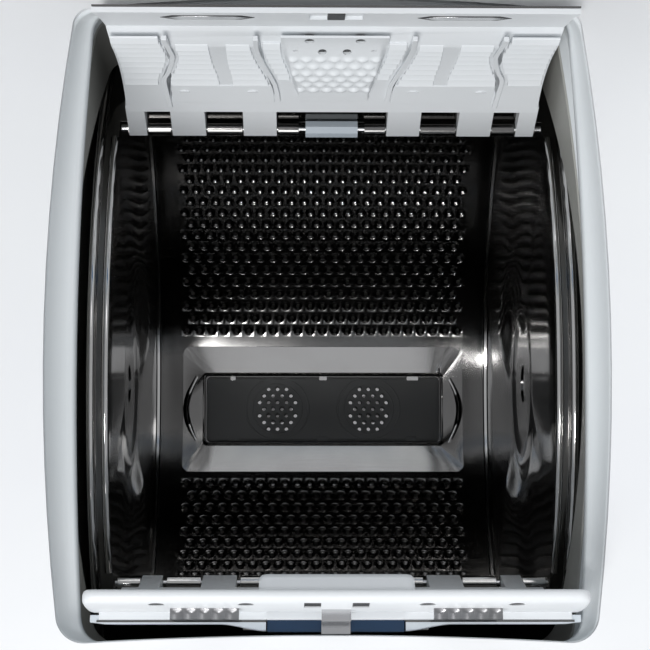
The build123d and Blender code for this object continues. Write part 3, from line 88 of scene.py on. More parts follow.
def door_frame(hinge_angle, turn):
    """The places of a door that is drawn closed round the drum's axis and turned open about its rod."""
    hinge_y, hinge_z = polar(hinge_radius, hinge_angle)
    sine, cosine = math.sin(math.radians(turn)), math.cos(math.radians(turn))

    def place(x, y, z):
        y, z = y - hinge_y, z - hinge_z
        return on_drum(x, hinge_y + y * cosine - z * sine, hinge_z + y * sine + z * cosine)

    return place


on_rear_door = door_frame(rear_hinge, rear_turn)
on_front_door = door_frame(front_hinge, front_turn)


# Meshes

weld_distance = 1e-7
softened_angle = 32.0


def keep_piece(mesh, name, body, material, bevel=0.0, steps=2, sharp=40.0, replaces=()):
    """Turns a mesh into a piece with softened edges, which rides on a body when one is given."""
    bmesh.ops.recalc_face_normals(mesh, faces=mesh.faces)
    data = bpy.data.meshes.new(name)
    mesh.to_mesh(data)
    mesh.free()
    data.materials.append(material)
    data.shade_smooth()
    data.set_sharp_from_angle(angle=math.radians(sharp))
    made = bpy.data.objects.new(name, data)
    bpy.context.scene.collection.objects.link(made)
    if bevel:
        soften = made.modifiers.new("soft_edges", "BEVEL")
        soften.width = bevel * mm
        soften.segments = steps
        soften.limit_method = "ANGLE"
        soften.angle_limit = math.radians(softened_angle)
        soften.harden_normals = True
    if body:
        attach(made, body)
    for node in replaces:
        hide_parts(node)
    return made


def weld(mesh):
    """Joins the points that lie on each other, where the last ring of a skin meets the first."""
    bmesh.ops.remove_doubles(mesh, verts=mesh.verts, dist=weld_distance)


def sharpen(made, angle):
    """Marks the edges of a carved piece that are sharper than an angle."""
    made.data.set_sharp_from_angle(angle=math.radians(angle))


def settle(made):
    """Applies the modifiers of a piece."""
    graph = bpy.context.evaluated_depsgraph_get()
    data = bpy.data.meshes.new_from_object(made.evaluated_get(graph))
    made.modifiers.clear()
    made.data = data


def carve(made, cutter):
    """Cuts a mesh out of a piece."""
    bmesh.ops.recalc_face_normals(cutter, faces=cutter.faces)
    data = bpy.data.meshes.new("cutter")
    cutter.to_mesh(data)
    cutter.free()
    tool = bpy.data.objects.new("cutter", data)
    bpy.context.scene.collection.objects.link(tool)
    cut = made.modifiers.new("cut", "BOOLEAN")
    cut.operation = "DIFFERENCE"
    cut.solver = "EXACT"
    cut.object = tool
    settle(made)
    bpy.data.objects.remove(tool)


def arc(radius, start, end, step=2.0):
    """Points along an arc round the drum's axis."""
    count = max(1, round(abs(end - start) / step))
    return [polar(radius, start + (end - start) * n / count) for n in range(count + 1)]


def sector(inner, outer, start, end, step=2.0):
    """The cross-section of a curved bar."""
    return arc(inner, start, end, step) + arc(outer, end, start, step)


def ring(centre, radius, sides, start=0.0):
    """The corners of a many-sided outline."""
    turns = [math.radians(start) + math.tau * n / sides for n in range(sides)]
    return [(centre[0] + radius * math.cos(turn), centre[1] + radius * math.sin(turn)) for turn in turns]


def bar(mesh, place, near, far, outline):
    """Adds a bar between two distances along the axis, which may depend on the place in the cross-section."""
    ends = []
    for reach in (near, far):
        ends.append([mesh.verts.new(place(reach(y) if callable(reach) else reach, y, z)) for y, z in outline])
    count = len(outline)
    for n in range(count):
        m = (n + 1) % count
        mesh.faces.new((ends[0][n], ends[1][n], ends[1][m], ends[0][m]))
    mesh.faces.new(ends[0])
    mesh.faces.new(ends[1][::-1])


def mirrored(reach):
    """The same reach on the other side of the middle."""
    return (lambda y: -reach(y)) if callable(reach) else -reach


def both_hands(mesh, place, near, far, outline):
    """Adds a bar and its mirror image on the other side of the middle."""
    bar(mesh, place, near, far, outline)
    bar(mesh, place, mirrored(far), mirrored(near), outline)


def slab(mesh, place, outline, low, high):
    """Adds a plate with a flat outline in x and y between two heights."""
    levels = [[mesh.verts.new(place(x, y, z)) for x, y in outline] for z in (low, high)]
    count = len(outline)
    for n in range(count):
        m = (n + 1) % count
        mesh.faces.new((levels[0][n], levels[0][m], levels[1][m], levels[1][n]))
    mesh.faces.new(levels[0][::-1])
    mesh.faces.new(levels[1])


def rounded(half_x, half_y, corner, centre=(0.0, 0.0), steps=5):
    """The outline of a rectangle with round corners."""
    points = []
    for quarter, (side_x, side_y) in enumerate(((1, 1), (-1, 1), (-1, -1), (1, -1))):
        middle = (centre[0] + side_x * (half_x - corner), centre[1] + side_y * (half_y - corner))
        for n in range(steps + 1):
            turn = math.radians(90.0 * (quarter + n / steps))
            points.append((middle[0] + corner * math.cos(turn), middle[1] + corner * math.sin(turn)))
    return points


def net(mesh, rows):
    """Joins rows of points, given as places, into one skin."""
    made = [[mesh.verts.new(place) for place in row] for row in rows]
    for first, second in zip(made, made[1:]):
        for n in range(len(first) - 1):
            mesh.faces.new((first[n], first[n + 1], second[n + 1], second[n]))
    return made


def closed_rings(mesh, rings, cap=True):
    """Joins closed rings of points into a skin, with its two ends closed."""
    made = [[mesh.verts.new(place) for place in row] for row in rings]
    for first, second in zip(made, made[1:]):
        count = len(first)
        for n in range(count):
            m = (n + 1) % count
            mesh.faces.new((first[n], first[m], second[m], second[n]))
    if cap:
        mesh.faces.new(made[0][::-1])
        mesh.faces.new(made[-1])
    return made


def smooth_step(value):
    """Rises smoothly from 0 to 1 as the value does."""
    value = min(max(value, 0.0), 1.0)
    return value * value * (3.0 - 2.0 * value)


# Finishes

def group(name, inputs, outputs):
    """A new shader node group with its sockets, and the nodes at its two ends."""
    tree = bpy.data.node_groups.new(name, "ShaderNodeTree")
    for label, kind in inputs:
        tree.interface.new_socket(label, in_out="INPUT", socket_type=kind)
    for label, kind in outputs:
        tree.interface.new_socket(label, in_out="OUTPUT", socket_type=kind)
    return tree, tree.nodes.new("NodeGroupInput"), tree.nodes.new("NodeGroupOutput")


def mixed(tree, factor, first, second):
    """A node that mixes two colours; each end is a socket or a plain colour."""
    node = tree.nodes.new("ShaderNodeMix")
    node.data_type = "RGBA"
    for socket, value in ((node.inputs[0], factor), (node.inputs[6], first), (node.inputs[7], second)):
        if isinstance(value, bpy.types.NodeSocket):
            tree.links.new(value, socket)
        else:
            socket.default_value = value
    return node.outputs[2]


def ranged(tree, value, low, high, to_low, to_high):
    """A node that maps one range onto another; each limit is a socket or a number."""
    node = tree.nodes.new("ShaderNodeMapRange")
    tree.links.new(value, node.inputs[0])
    for socket, limit in zip(node.inputs[1:5], (low, high, to_low, to_high)):
        if isinstance(limit, bpy.types.NodeSocket):
            tree.links.new(limit, socket)
        else:
            socket.default_value = limit
    return node.outputs[0]


def noise(tree, scale, detail=3.0, stretch=None):
    """A noise over the object's own coordinates, stretched where a direction is given."""
    where = tree.nodes.new("ShaderNodeTexCoord").outputs["Object"]
    if stretch:
        mapping = tree.nodes.new("ShaderNodeMapping")
        mapping.inputs["Scale"].default_value = stretch
        tree.links.new(where, mapping.inputs["Vector"])
        where = mapping.outputs["Vector"]
    node = tree.nodes.new("ShaderNodeTexNoise")
    tree.links.new(where, node.inputs["Vector"])
    if isinstance(scale, bpy.types.NodeSocket):
        tree.links.new(scale, node.inputs["Scale"])
    else:
        node.inputs["Scale"].default_value = scale
    node.inputs["Detail"].default_value = detail
    return node.outputs["Fac"]


def moulded_group():
    """Moulded plastic or paint: a fine grain, a slow drift of colour and gloss, and faint scuffs."""
    tree, start, end = group(
        "moulded_surface",
        [
            ("Colour", "NodeSocketColor"),
            ("Worn Colour", "NodeSocketColor"),
            ("Grain Scale", "NodeSocketFloat"),
            ("Smooth", "NodeSocketFloat"),
            ("Rough", "NodeSocketFloat"),
        ],
        [("Colour", "NodeSocketColor"), ("Roughness", "NodeSocketFloat"), ("Height", "NodeSocketFloat")],
    )
    grain = noise(tree, start.outputs["Grain Scale"], 4.0)
    drift = noise(tree, 7.0, 2.0)
    scuff = noise(tree, 26.0, 6.0, (1.0, 3.0, 1.0))
    soiled = ranged(tree, drift, 0.35, 0.75, 0.0, 1.0)
    colour = mixed(tree, soiled, start.outputs["Colour"], start.outputs["Worn Colour"])
    tree.links.new(colour, end.inputs["Colour"])
    gloss = ranged(tree, scuff, 0.35, 0.7, start.outputs["Smooth"], start.outputs["Rough"])
    tree.links.new(gloss, end.inputs["Roughness"])
    tree.links.new(grain, end.inputs["Height"])
    return tree


def sheet_group():
    """Sheet metal: rolling lines along one direction, soft smears and a slow drift of tone."""
    tree, start, end = group(
        "sheet_surface",
        [
            ("Colour", "NodeSocketColor"),
            ("Dull Colour", "NodeSocketColor"),
            ("Line Scale", "NodeSocketFloat"),
            ("Smooth", "NodeSocketFloat"),
            ("Rough", "NodeSocketFloat"),
        ],
        [("Colour", "NodeSocketColor"), ("Roughness", "NodeSocketFloat"), ("Height", "NodeSocketFloat")],
    )
    lines = noise(tree, start.outputs["Line Scale"], 3.0, (0.05, 1.0, 1.0))
    smear = noise(tree, 14.0, 4.0)
    dulled = ranged(tree, smear, 0.4, 0.75, 0.0, 1.0)
    colour = mixed(tree, dulled, start.outputs["Colour"], start.outputs["Dull Colour"])
    tree.links.new(colour, end.inputs["Colour"])
    gloss = ranged(tree, smear, 0.3, 0.75, start.outputs["Smooth"], start.outputs["Rough"])
    tree.links.new(gloss, end.inputs["Roughness"])
    tree.links.new(lines, end.inputs["Height"])
    return tree


relief_strength = 0.6
moulded = moulded_group()
sheet_metal = sheet_group()


def shade(red, green, blue):
    """An opaque colour."""
    return (red, green, blue, 1.0)


def finish(name, surface, colours, scale, gloss, relief, **sockets):
    """A material on one of the surface groups, with its relief as a depth in millimetres."""
    material = bpy.data.materials.new(name)
    material.use_nodes = True
    tree = material.node_tree
    shader = tree.nodes["Principled BSDF"]
    node = tree.nodes.new("ShaderNodeGroup")
    node.node_tree = surface
    values = (shade(*colours[0]), shade(*colours[1]), scale, gloss[0], gloss[1])
    for socket, value in zip(node.inputs, values):
        socket.default_value = value
    tree.links.new(node.outputs["Colour"], shader.inputs["Base Color"])
    tree.links.new(node.outputs["Roughness"], shader.inputs["Roughness"])
    bump = tree.nodes.new("ShaderNodeBump")
    bump.inputs["Distance"].default_value = relief * mm
    bump.inputs["Strength"].default_value = relief_strength
    tree.links.new(node.outputs["Height"], bump.inputs["Height"])
    tree.links.new(bump.outputs["Normal"], shader.inputs["Normal"])
    for socket, value in sockets.items():
        shader.inputs[socket.replace("_", " ")].default_value = value
    return material


def plastic(name, colour, worn, scale=900.0, gloss=(0.30, 0.42), relief=0.02, **sockets):
    """A moulded or painted finish, from its colour where it is clean and where it is worn."""
    return finish(name, moulded, (colour, worn), scale, gloss, relief, **sockets)


def metal(name, colour, dull, scale=500.0, gloss=(0.16, 0.28), relief=0.01, **sockets):
    """A metal finish, from its colour where it is bright and where it is dull."""
    return finish(name, sheet_metal, (colour, dull), scale, gloss, relief, Metallic=1.0, **sockets)


deck_white = plastic("deck_white", (0.80, 0.81, 0.82), (0.77, 0.78, 0.80), gloss=(0.34, 0.44))
lid_white = plastic("lid_white", (0.80, 0.81, 0.81), (0.78, 0.79, 0.80), gloss=(0.22, 0.32))
enamel = plastic(
    "cabinet_enamel", (0.79, 0.80, 0.80), (0.77, 0.78, 0.79), 260.0, (0.16, 0.26), 0.03, Coat_Weight=0.3
)
liner_white = plastic("door_liner_white", (0.76, 0.78, 0.80), (0.72, 0.75, 0.77), 700.0, (0.36, 0.5))
clip_grey = plastic("spring_cover_grey", (0.42, 0.47, 0.52), (0.38, 0.43, 0.48))
tray_blue_grey = plastic("tray_blue_grey", (0.62, 0.67, 0.71), (0.57, 0.62, 0.67))
cover_blue = plastic("cover_blue", (0.05, 0.14, 0.28), (0.04, 0.12, 0.25), gloss=(0.2, 0.32))
button_blue = plastic("button_blue", (0.010, 0.042, 0.100), (0.008, 0.036, 0.088), gloss=(0.2, 0.3))
black_plastic = plastic("black_moulding", (0.016, 0.017, 0.018), (0.024, 0.025, 0.026), 500.0, (0.38, 0.55))
# The lifter's own colour is a dark charcoal; this base is lighter, painted light that makes up for the shade
# inside the drum.
charcoal_painted_light = plastic("lifter_charcoal", (0.33, 0.335, 0.335), (0.36, 0.362, 0.36), 1100.0, (0.46, 0.6), 0.03)
grey_plastic = plastic("grey_moulding", (0.26, 0.28, 0.29), (0.22, 0.24, 0.25))
knob_grey = plastic("knob_grey", (0.50, 0.52, 0.54), (0.46, 0.48, 0.50), gloss=(0.2, 0.3))
tub_filled = plastic("tub_filled_plastic", (0.42, 0.42, 0.39), (0.36, 0.36, 0.34), 300.0, (0.45, 0.6), 0.06)
rubber = plastic("gasket_rubber", (0.70, 0.73, 0.745), (0.64, 0.675, 0.69), 380.0, (0.42, 0.56), 0.05)
black_rubber = plastic("black_rubber", (0.022, 0.022, 0.023), (0.034, 0.033, 0.032), 420.0, (0.6, 0.8), 0.06)
casting = plastic("cast_weight", (0.30, 0.30, 0.29), (0.20, 0.20, 0.19), 220.0, (0.75, 0.95), 0.35)
board_green = plastic("board_green", (0.02, 0.12, 0.05), (0.03, 0.16, 0.07), 240.0, (0.25, 0.4), 0.05)
display_smoke = plastic("display_smoke", (0.010, 0.012, 0.014), (0.014, 0.016, 0.018), gloss=(0.05, 0.1))
# The drum's steel is painted much darker than bare steel: painted shade for the dark inside of the drum.
drum_steel = metal("drum_steel", (0.24, 0.235, 0.23), (0.19, 0.185, 0.18), 420.0, (0.09, 0.16), 0.006)
# The ends of the drum are painted darker still: painted shade for the ends that lie deep in the drum.
end_steel_painted_shade = metal("drum_end_steel", (0.15, 0.147, 0.145), (0.12, 0.118, 0.115), 300.0, (0.10, 0.18), 0.006)
# A bright copy of the same drum steel, for its hems, bead, lifter frame, cheeks, clips, backing and front
# loops: painted highlight.
painted_highlight = metal("polished_steel", (0.64, 0.63, 0.62), (0.54, 0.53, 0.52), 600.0, (0.06, 0.12), 0.005)
bright_steel = metal("bright_steel", (0.62, 0.62, 0.63), (0.52, 0.52, 0.53), 900.0, (0.12, 0.22))
zinc = metal("galvanised_steel", (0.50, 0.51, 0.52), (0.40, 0.41, 0.42), 120.0, (0.32, 0.5), 0.02)
spring_wire = metal("spring_wire", (0.30, 0.30, 0.31), (0.22, 0.22, 0.22), 900.0, (0.25, 0.4))
aluminium = metal("cast_aluminium", (0.52, 0.53, 0.54), (0.42, 0.43, 0.44), 260.0, (0.35, 0.5), 0.06)


def look(material, *names):
    """Gives CAD nodes a material."""
    for name in names:
        mesh = nodes[name].data
        mesh.materials.clear()
        mesh.materials.append(material)


look(enamel, "front_panel", "left_side_panel", "right_side_panel")
look(zinc, "rear_panel", "spring_brackets", "motor_bracket")
look(deck_white, "top_deck")
look(lid_white, "lid_shell", "lid_liner", "control_console", "control_fascia", "filter_door")
look(liner_white, "rear_door_liner", "front_door_liner")
look(tray_blue_grey, "detergent_tray")
look(clip_grey, "door_spring_cover")
look(cover_blue, "tray_cover")
look(button_blue, "latch_button")
look(black_plastic, "base_frame", "lid_lock", "mains_gland", "filter_cap", "damper_cylinders")
look(charcoal_painted_light, "lifter")
look(grey_plastic, "inlet_valve", "drain_pipe", "drain_pump")
look(knob_grey, "programme_knob", "start_button", "option_button_left", "option_button_right")
look(tub_filled, "tub_shell", "left_tub_end", "right_tub_end")
look(rubber, "mouth_gasket")
look(black_rubber, "drive_belt", "sump_hose", "front_left_foot", "front_right_foot", "rear_feet")
look(casting, "counterweights")
look(board_green, "control_board")
look(display_smoke, "display_window")
look(drum_steel, "drum_shell", "left_drum_end", "right_drum_end", "rear_door_skin", "front_door_skin")
look(bright_steel, "hinge_rods", "catch_tongues", "latch_hook", "lid_hinge_pins")
look(bright_steel, "drum_shafts", "drum_bearings", "damper_rods", "motor_rotor", "heater")
look(spring_wire, "suspension_springs")
look(aluminium, "drum_pulley", "motor_housing")


# Drum

hole_pitch = 9.9
hole_rows_step = 2.46
rear_rows = (76.4, 165.0)
front_rows = (195.3, 283.9)
hole_columns = 23
dimple_profile = (
    # distance from the middle of a hole, and depth behind the sheet
    (3.95, 0.0), (3.7, 0.06), (3.0, 0.5), (2.3, 1.0), (1.75, 1.2), (1.55, 1.35), (1.55, 2.1),
)
ring_sides = 12
hem_step = 1.6
door_cut_start, door_cut_end = rear_hinge + hem_step, 360.0 + front_hinge - hem_step
plain_row_step = 2.4
end_strip_rows = 24


def drum_sheet():
    """The rolled sheet of the drum, with a dimple pressed outwards round each hole."""
    mesh = bmesh.new()
    made = {}

    def point(x, angle, radius=drum_radius):
        key = (round(x, 3), round(angle % 360.0, 3), round(radius, 3))
        if key not in made:
            made[key] = mesh.verts.new(on_drum(x, *polar(radius, angle)))
        return made[key]

    half_pitch = hole_pitch / 2
    columns = [n * half_pitch for n in range(-hole_columns, hole_columns + 1)]
    columns = [-drum_half, -door_cut_half] + columns + [door_cut_half, drum_half]

    def plain(low, high, xs=None):
        xs = xs or columns
        for near, far in zip(xs, xs[1:]):
            mesh.faces.new((point(near, low), point(far, low), point(far, high), point(near, high)))

    def holes(low, high, wide):
        middle = (low + high) / 2
        count = hole_columns if wide else hole_columns - 1
        edge = count * half_pitch
        for n in range(count):
            x = (n - (count - 1) / 2) * hole_pitch
            near, far = x - half_pitch, x + half_pitch
            outline = [point(far, middle), point(far, high), point(x, high), point(near, high)]
            outline += [point(near, middle), point(near, low), point(x, low), point(far, low)]
            rings = []
            for radius, depth in dimple_profile:
                step = math.degrees(radius / drum_radius)
                turns = [math.tau * side / ring_sides for side in range(ring_sides)]
                level = []
                for turn in turns:
                    spot = polar(drum_radius + depth, middle + step * math.sin(turn))
                    level.append(mesh.verts.new(on_drum(x + radius * math.cos(turn), *spot)))
                rings.append(level)
            for first, second in zip(rings, rings[1:]):
                for side in range(ring_sides):
                    after = (side + 1) % ring_sides
                    mesh.faces.new((first[side], first[after], second[after], second[side]))
            side = 0
            for number, corner in enumerate(outline):
                following = outline[(number + 1) % len(outline)]
                target = round((number + 1) * ring_sides / len(outline))
                while side < target:
                    mesh.faces.new((corner, rings[0][(side + 1) % ring_sides], rings[0][side % ring_sides]))
                    side += 1
                mesh.faces.new((corner, following, rings[0][side % ring_sides]))
        for hand in (-1, 1):
            lows = sorted((abs(x) for x in columns if abs(x) >= edge - 0.01 and x * hand > 0))
            run = [point(hand * x, low) for x in lows] + [point(hand * x, high) for x in reversed(lows)]
            run.append(point(hand * edge, middle))
            mesh.faces.new(run)

    angle = door_cut_start
    half_row = hole_rows_step / 2
    sections = (
        (rear_rows[0] - half_row, False), (rear_rows[1] + half_row, True),
        (front_rows[0] - half_row, False), (front_rows[1] + half_row, True), (door_cut_end, False),
    )
    for stop, pierced in sections:
        count = round((stop - angle) / (hole_rows_step if pierced else plain_row_step))
        for n in range(count):
            low = angle + (stop - angle) * n / count
            high = angle + (stop - angle) * (n + 1) / count
            if pierced:
                holes(low, high, n % 2 == 0)
            else:
                plain(low, high)
        angle = stop
    strip_span = 360.0 - door_cut_end + door_cut_start
    for n in range(end_strip_rows):
        low = door_cut_end + strip_span * n / end_strip_rows
        high = door_cut_end + strip_span * (n + 1) / end_strip_rows
        plain(low, high, [-drum_half, -door_cut_half])
        plain(low, high, [door_cut_half, drum_half])
    return keep_piece(mesh, "drum_perforated_sheet", "drum", drum_steel, sharp=50.0, replaces=["drum_shell"])


loop_outer = 4.3
loop_inner = rod_radius + 0.25
sheet_outer = drum_radius + 1.2
rear_loops = [(18.8, 30.9), (51.2, 71.5), (92.2, 105.4)]
front_loops = [(39.0, 51.0), (73.0, 92.0), (106.7, 119.6)]


def curl(centre, side):
    """The cross-section of a sheet edge that is rolled round a hinge rod, on the side of the sheet."""
    outside, inside = [], []
    for n in range(22):
        turn = math.radians(-38.0 + n * 14.6)
        spot = (math.cos(turn) * side, math.sin(turn))
        outside.append((centre[0] + loop_outer * spot[0], centre[1] + loop_outer * spot[1]))
        inside.append((centre[0] + loop_inner * spot[0], centre[1] + loop_inner * spot[1]))
    return outside + inside[::-1]


def drum_loops(name, hinge_angle, side, spans, material):
    """The rolled loops at one edge of the drum sheet, with the folded hem between them."""
    mesh = bmesh.new()
    centre = polar(hinge_radius, hinge_angle)
    web = sector(drum_radius, sheet_outer, hinge_angle + side * 0.5, hinge_angle + side * 1.9, 0.7)
    for near, far in spans:
        both_hands(mesh, on_drum, near, far, curl(centre, side))
        both_hands(mesh, on_drum, near, far, web)
    hem = sector(drum_radius - 0.6, sheet_outer, hinge_angle + side * hem_step, hinge_angle + side * 2.7, 0.6)
    bar(mesh, on_drum, -door_cut_half, door_cut_half, hem)
    return keep_piece(mesh, name, "drum", material, bevel=0.25)


def mouth_hems():
    """The rolled edges of the drum sheet along the two ends of the drum's mouth, in the bright copy of its
    steel as a painted highlight.
    """
    mesh = bmesh.new()
    steps = 60
    for hand in (-1, 1):
        rings = []
        for n in range(steps + 1):
            angle = front_hinge + 1.5 + (rear_hinge - front_hinge - 3.0) * n / steps
            edge = ring((0, 0), 1.0, 14)
            rings.append([on_drum(hand * (124.7 + 2.2 * a), *polar(235.3 + 1.9 * b, angle)) for a, b in edge])
        closed_rings(mesh, rings)
    return keep_piece(mesh, "drum_mouth_hems", "drum", painted_highlight, sharp=50.0)


lifter_centre = (0.6, -2.2)
frame_profile = (
    # reach across from the lifter's edge, and height over the drum sheet
    (0.5, 0.2), (0.7, 2.4), (1.2, 3.1), (2.0, 3.3), (2.7, 2.7), (3.0, 1.9), (3.4, 1.7),
    (24.0, 0.25), (25.0, -0.6),
)
frame_half = (94.2, 26.2)
frame_step = 8.0


def sheet_level(y):
    """The height of the drum sheet under its axis, at a place along the floor of the drum."""
    return -math.sqrt(drum_radius**2 - y * y)


def lifter_frame():
    """The pressed frame round the lifter: a lip, flat flanks and mitred corners, in the bright copy of the
    drum steel as a painted highlight.
    """
    mesh = bmesh.new()
    rings = []
    for reach, height in frame_profile:
        half_x, half_y = frame_half[0] + reach * 0.78, frame_half[1] + reach
        outline = rounded(half_x, half_y, 2.6 + 0.12 * reach, lifter_centre, 4)
        dense = []
        for first, second in zip(outline, outline[1:] + outline[:1]):
            parts = max(1, int(math.dist(first, second) // frame_step))
            for n in range(parts):
                dense.append(tuple(a + (b - a) * n / parts for a, b in zip(first, second)))
        rings.append([on_drum(x, y, height + sheet_level(y)) for x, y in dense])
    count = min(len(row) for row in rings)
    closed_rings(mesh, [spread(row, count) for row in rings], cap=False)
    return keep_piece(mesh, "lifter_frame", "drum", painted_highlight, sharp=24.0)


def spread(row, count):
    """The same number of points from a longer row."""
    return [row[round(n * len(row) / count) % len(row)] for n in range(count)]


cheek_reach = 27.0


def lifter_cheeks():
    """The curved creases pressed into the drum sheet beyond the two ends of the lifter, in the bright copy of
    its steel as a painted highlight.
    """
    mesh = bmesh.new()
    steps = 24
    for hand in (-1, 1):
        rows = []
        for n in range(steps + 1):
            y = lifter_centre[1] - cheek_reach + 2 * cheek_reach * n / steps
            bulge = math.sin(math.pi * n / steps)
            middle = hand * (101.0 + 9.0 * bulge) + lifter_centre[0]
            level = 1.3 + sheet_level(y)
            profile = ((-3.0, -0.9), (-1.6, 0.5 * bulge), (0.0, 1.3 * bulge), (1.6, 0.5 * bulge), (3.0, -1.2))
            rows.append([on_drum(middle + across, y, level + height) for across, height in profile])
        net(mesh, rows)
    return keep_piece(mesh, "lifter_cheeks", "drum", painted_highlight, sharp=40.0)


grille_places = (-36.6, 36.6)
grille_rows = (
    # number of the row from the middle, and its number of holes
    (-3, 3), (-2, 4), (-1, 5), (0, 4), (1, 5), (2, 4), (3, 3),
)
grille_pitch = 7.2
grille_row_step = 5.35
lifter_top = -228.4
lifter_low = -233.0


def on_lifter(x, y, z):
    """A place on the lifter, from its middle across and along it and from the drum's axis in height."""
    return on_drum(x + lifter_centre[0], y + lifter_centre[1], z)


def lifter_plate():
    """The lifter: a moulded plate with two round grilles, each in shallow rings, and clip notches."""
    mesh = bmesh.new()
    levels = (
        (93.6, 25.6, lifter_low), (93.6, 25.6, lifter_top - 1.6), (93.0, 25.0, lifter_top - 0.7),
        (91.6, 23.6, lifter_top),
    )
    closed_rings(mesh, [[on_lifter(x, y, z) for x, y in rounded(a, b, 3.2)] for a, b, z in levels])
    plate = keep_piece(mesh, "lifter_plate", "drum", charcoal_painted_light, sharp=25.0, replaces=["lifter"])
    cutter = bmesh.new()
    drills = ((1.55, lifter_low - 2.0), (1.55, lifter_top - 0.9), (2.6, lifter_top + 0.6))
    for centre in grille_places:
        for row, count in grille_rows:
            for n in range(count):
                spot = (centre + (n - (count - 1) / 2) * grille_pitch, row * grille_row_step)
                walls = [[on_lifter(x, y, z) for x, y in ring(spot, size, 12)] for size, z in drills]
                closed_rings(cutter, walls)
    carve(plate, cutter)
    cutter = bmesh.new()
    for centre in grille_places:
        for inner, outer, depth in ((19.6, 20.3, 0.35), (24.6, 25.6, 0.5)):
            section = ((inner, depth), (outer, depth), (outer + 0.5, -0.5), (inner - 0.5, -0.5))
            rings = [
                [on_lifter(x, y, lifter_top - down) for x, y in ring((centre, 0.0), radius, 56)]
                for radius, down in section
            ]
            closed_rings(cutter, rings + rings[:1], cap=False)
    weld(cutter)
    for x in (-72.0, -0.8, 70.4):
        slab(cutter, on_lifter, rounded(4.2, 1.8, 0.5, (x, -23.6), 2), lifter_top - 2.4, lifter_top + 1.0)
    carve(plate, cutter)
    sharpen(plate, 25.0)
    return plate


def lifter_clips():
    """Small tongues of the drum sheet that hold the lifter at its rear edge, in the bright copy of its steel
    as a painted highlight.
    """
    mesh = bmesh.new()
    for x, wide in ((-72.4, 2.2), (0.0, 3.2), (72.0, 4.8)):
        slab(mesh, on_lifter, rounded(wide, 1.7, 0.5, (x, 24.6), 2), lifter_top - 1.2, lifter_top + 0.7)
    return keep_piece(mesh, "lifter_clips", "drum", painted_highlight, bevel=0.2)


def lifter_backing():
    """Rings of drum sheet behind the outer holes of the two grilles, in the bright copy of its steel as a
    painted highlight that shows through the holes.
    """
    mesh = bmesh.new()
    for centre in grille_places:
        rings = [
            [on_lifter(x, y, lifter_low - down) for x, y in ring((centre, 0.0), radius, 40)]
            for radius, down in ((11.6, 0.4), (18.6, 0.4), (18.6, 0.8), (11.6, 0.8))
        ]
        closed_rings(mesh, rings + rings[:1], cap=False)
    weld(mesh)
    return keep_piece(mesh, "lifter_backing", "drum", painted_highlight)


end_inside = 133.5
end_outside = 134.5
end_bore = 12.6
end_sides = 144
end_lobes = 3
end_rim = (
    # distance from the middle of the drum, and radius, round the rolled bead
    (end_inside, 233.6), (133.0, 234.6), (131.0, 234.9), (130.2, 236.0), (130.0, 238.0), (130.4, 239.8),
    (131.8, 240.9), (133.0, 241.0), (134.2, 240.2), (134.5, 238.6), (end_outside, 232.0),
)
bead_start = 234.3


def end_swell(radius, angle):
    """The rise of the pressed lobes and of the collar over the plain disc of a drum end."""
    lobe = 0.5 + 0.5 * math.cos(math.radians(end_lobes * (angle - 12.0)))
    body = smooth_step((radius - 62.0) / 34.0) * smooth_step((214.0 - radius) / 40.0)
    collar = 2.2 * smooth_step((radius - 44.0) / 8.0) * smooth_step((60.0 - radius) / 8.0)
    return 6.5 * body * smooth_step(1.25 * lobe) + collar


def end_circle(hand, level, radius, pressed=True):
    """One circle of points on an end of the drum, on its pressed disc or on its plain rim."""
    places = []
    for n in range(end_sides):
        turn = 360.0 * n / end_sides
        x = level - end_swell(radius, turn) if pressed else level
        places.append(on_drum(hand * x, *polar(radius, turn)))
    return places


def drum_end(hand):
    """An end of the drum: a disc with pressed lobes round its middle and a rolled bead at its rim."""
    mesh = bmesh.new()
    inside_radii = [end_bore] + [18.0 + 6.0 * n for n in range(36)]
    rings = [end_circle(hand, end_inside, radius) for radius in inside_radii]
    rings += [end_circle(hand, x, radius, pressed=False) for x, radius in end_rim]
    rings += [end_circle(hand, end_outside, radius) for radius in (214.0, 160.0, 96.0, 62.0, 40.0, end_bore)]
    rings.append(rings[0])
    closed_rings(mesh, rings, cap=False)
    weld(mesh)
    side = "left" if hand < 0 else "right"
    made = keep_piece(mesh, f"{side}_drum_end_pressing", "drum", end_steel_painted_shade, replaces=[f"{side}_drum_end"])
    # The faces of the rolled bead take the bright copy of the drum steel: a painted highlight round the rim.
    made.data.materials.append(painted_highlight)
    axis = on_drum(0.0, 0.0, 0.0)
    for face in made.data.polygons:
        away = face.center - axis
        face.material_index = int(math.hypot(away.y, away.z) > bead_start * mm)
    return made


drum_sheet()
# The rear loops take the darker copy of the drum steel as painted shade and the front loops the bright copy
# as a painted highlight.
drum_loops("rear_hinge_loops", rear_hinge, 1, rear_loops, drum_steel)
drum_loops("front_hinge_loops", front_hinge, -1, front_loops, painted_highlight)
mouth_hems()
lifter_frame()
lifter_cheeks()
lifter_plate()
lifter_clips()
lifter_backing()
for hand in (-1, 1):
    drum_end(hand)


# Doors of the drum

def through(points):
    """A curve through three points: the half-width of a door at each place along it."""
    (low, at_low), (middle, at_middle), (high, at_high) = points

    def value(y):
        first = at_low * (y - middle) * (y - high) / ((low - middle) * (low - high))
        second = at_middle * (y - low) * (y - high) / ((middle - low) * (middle - high))
        return first + second + at_high * (y - low) * (y - middle) / ((high - low) * (high - middle))

    return value


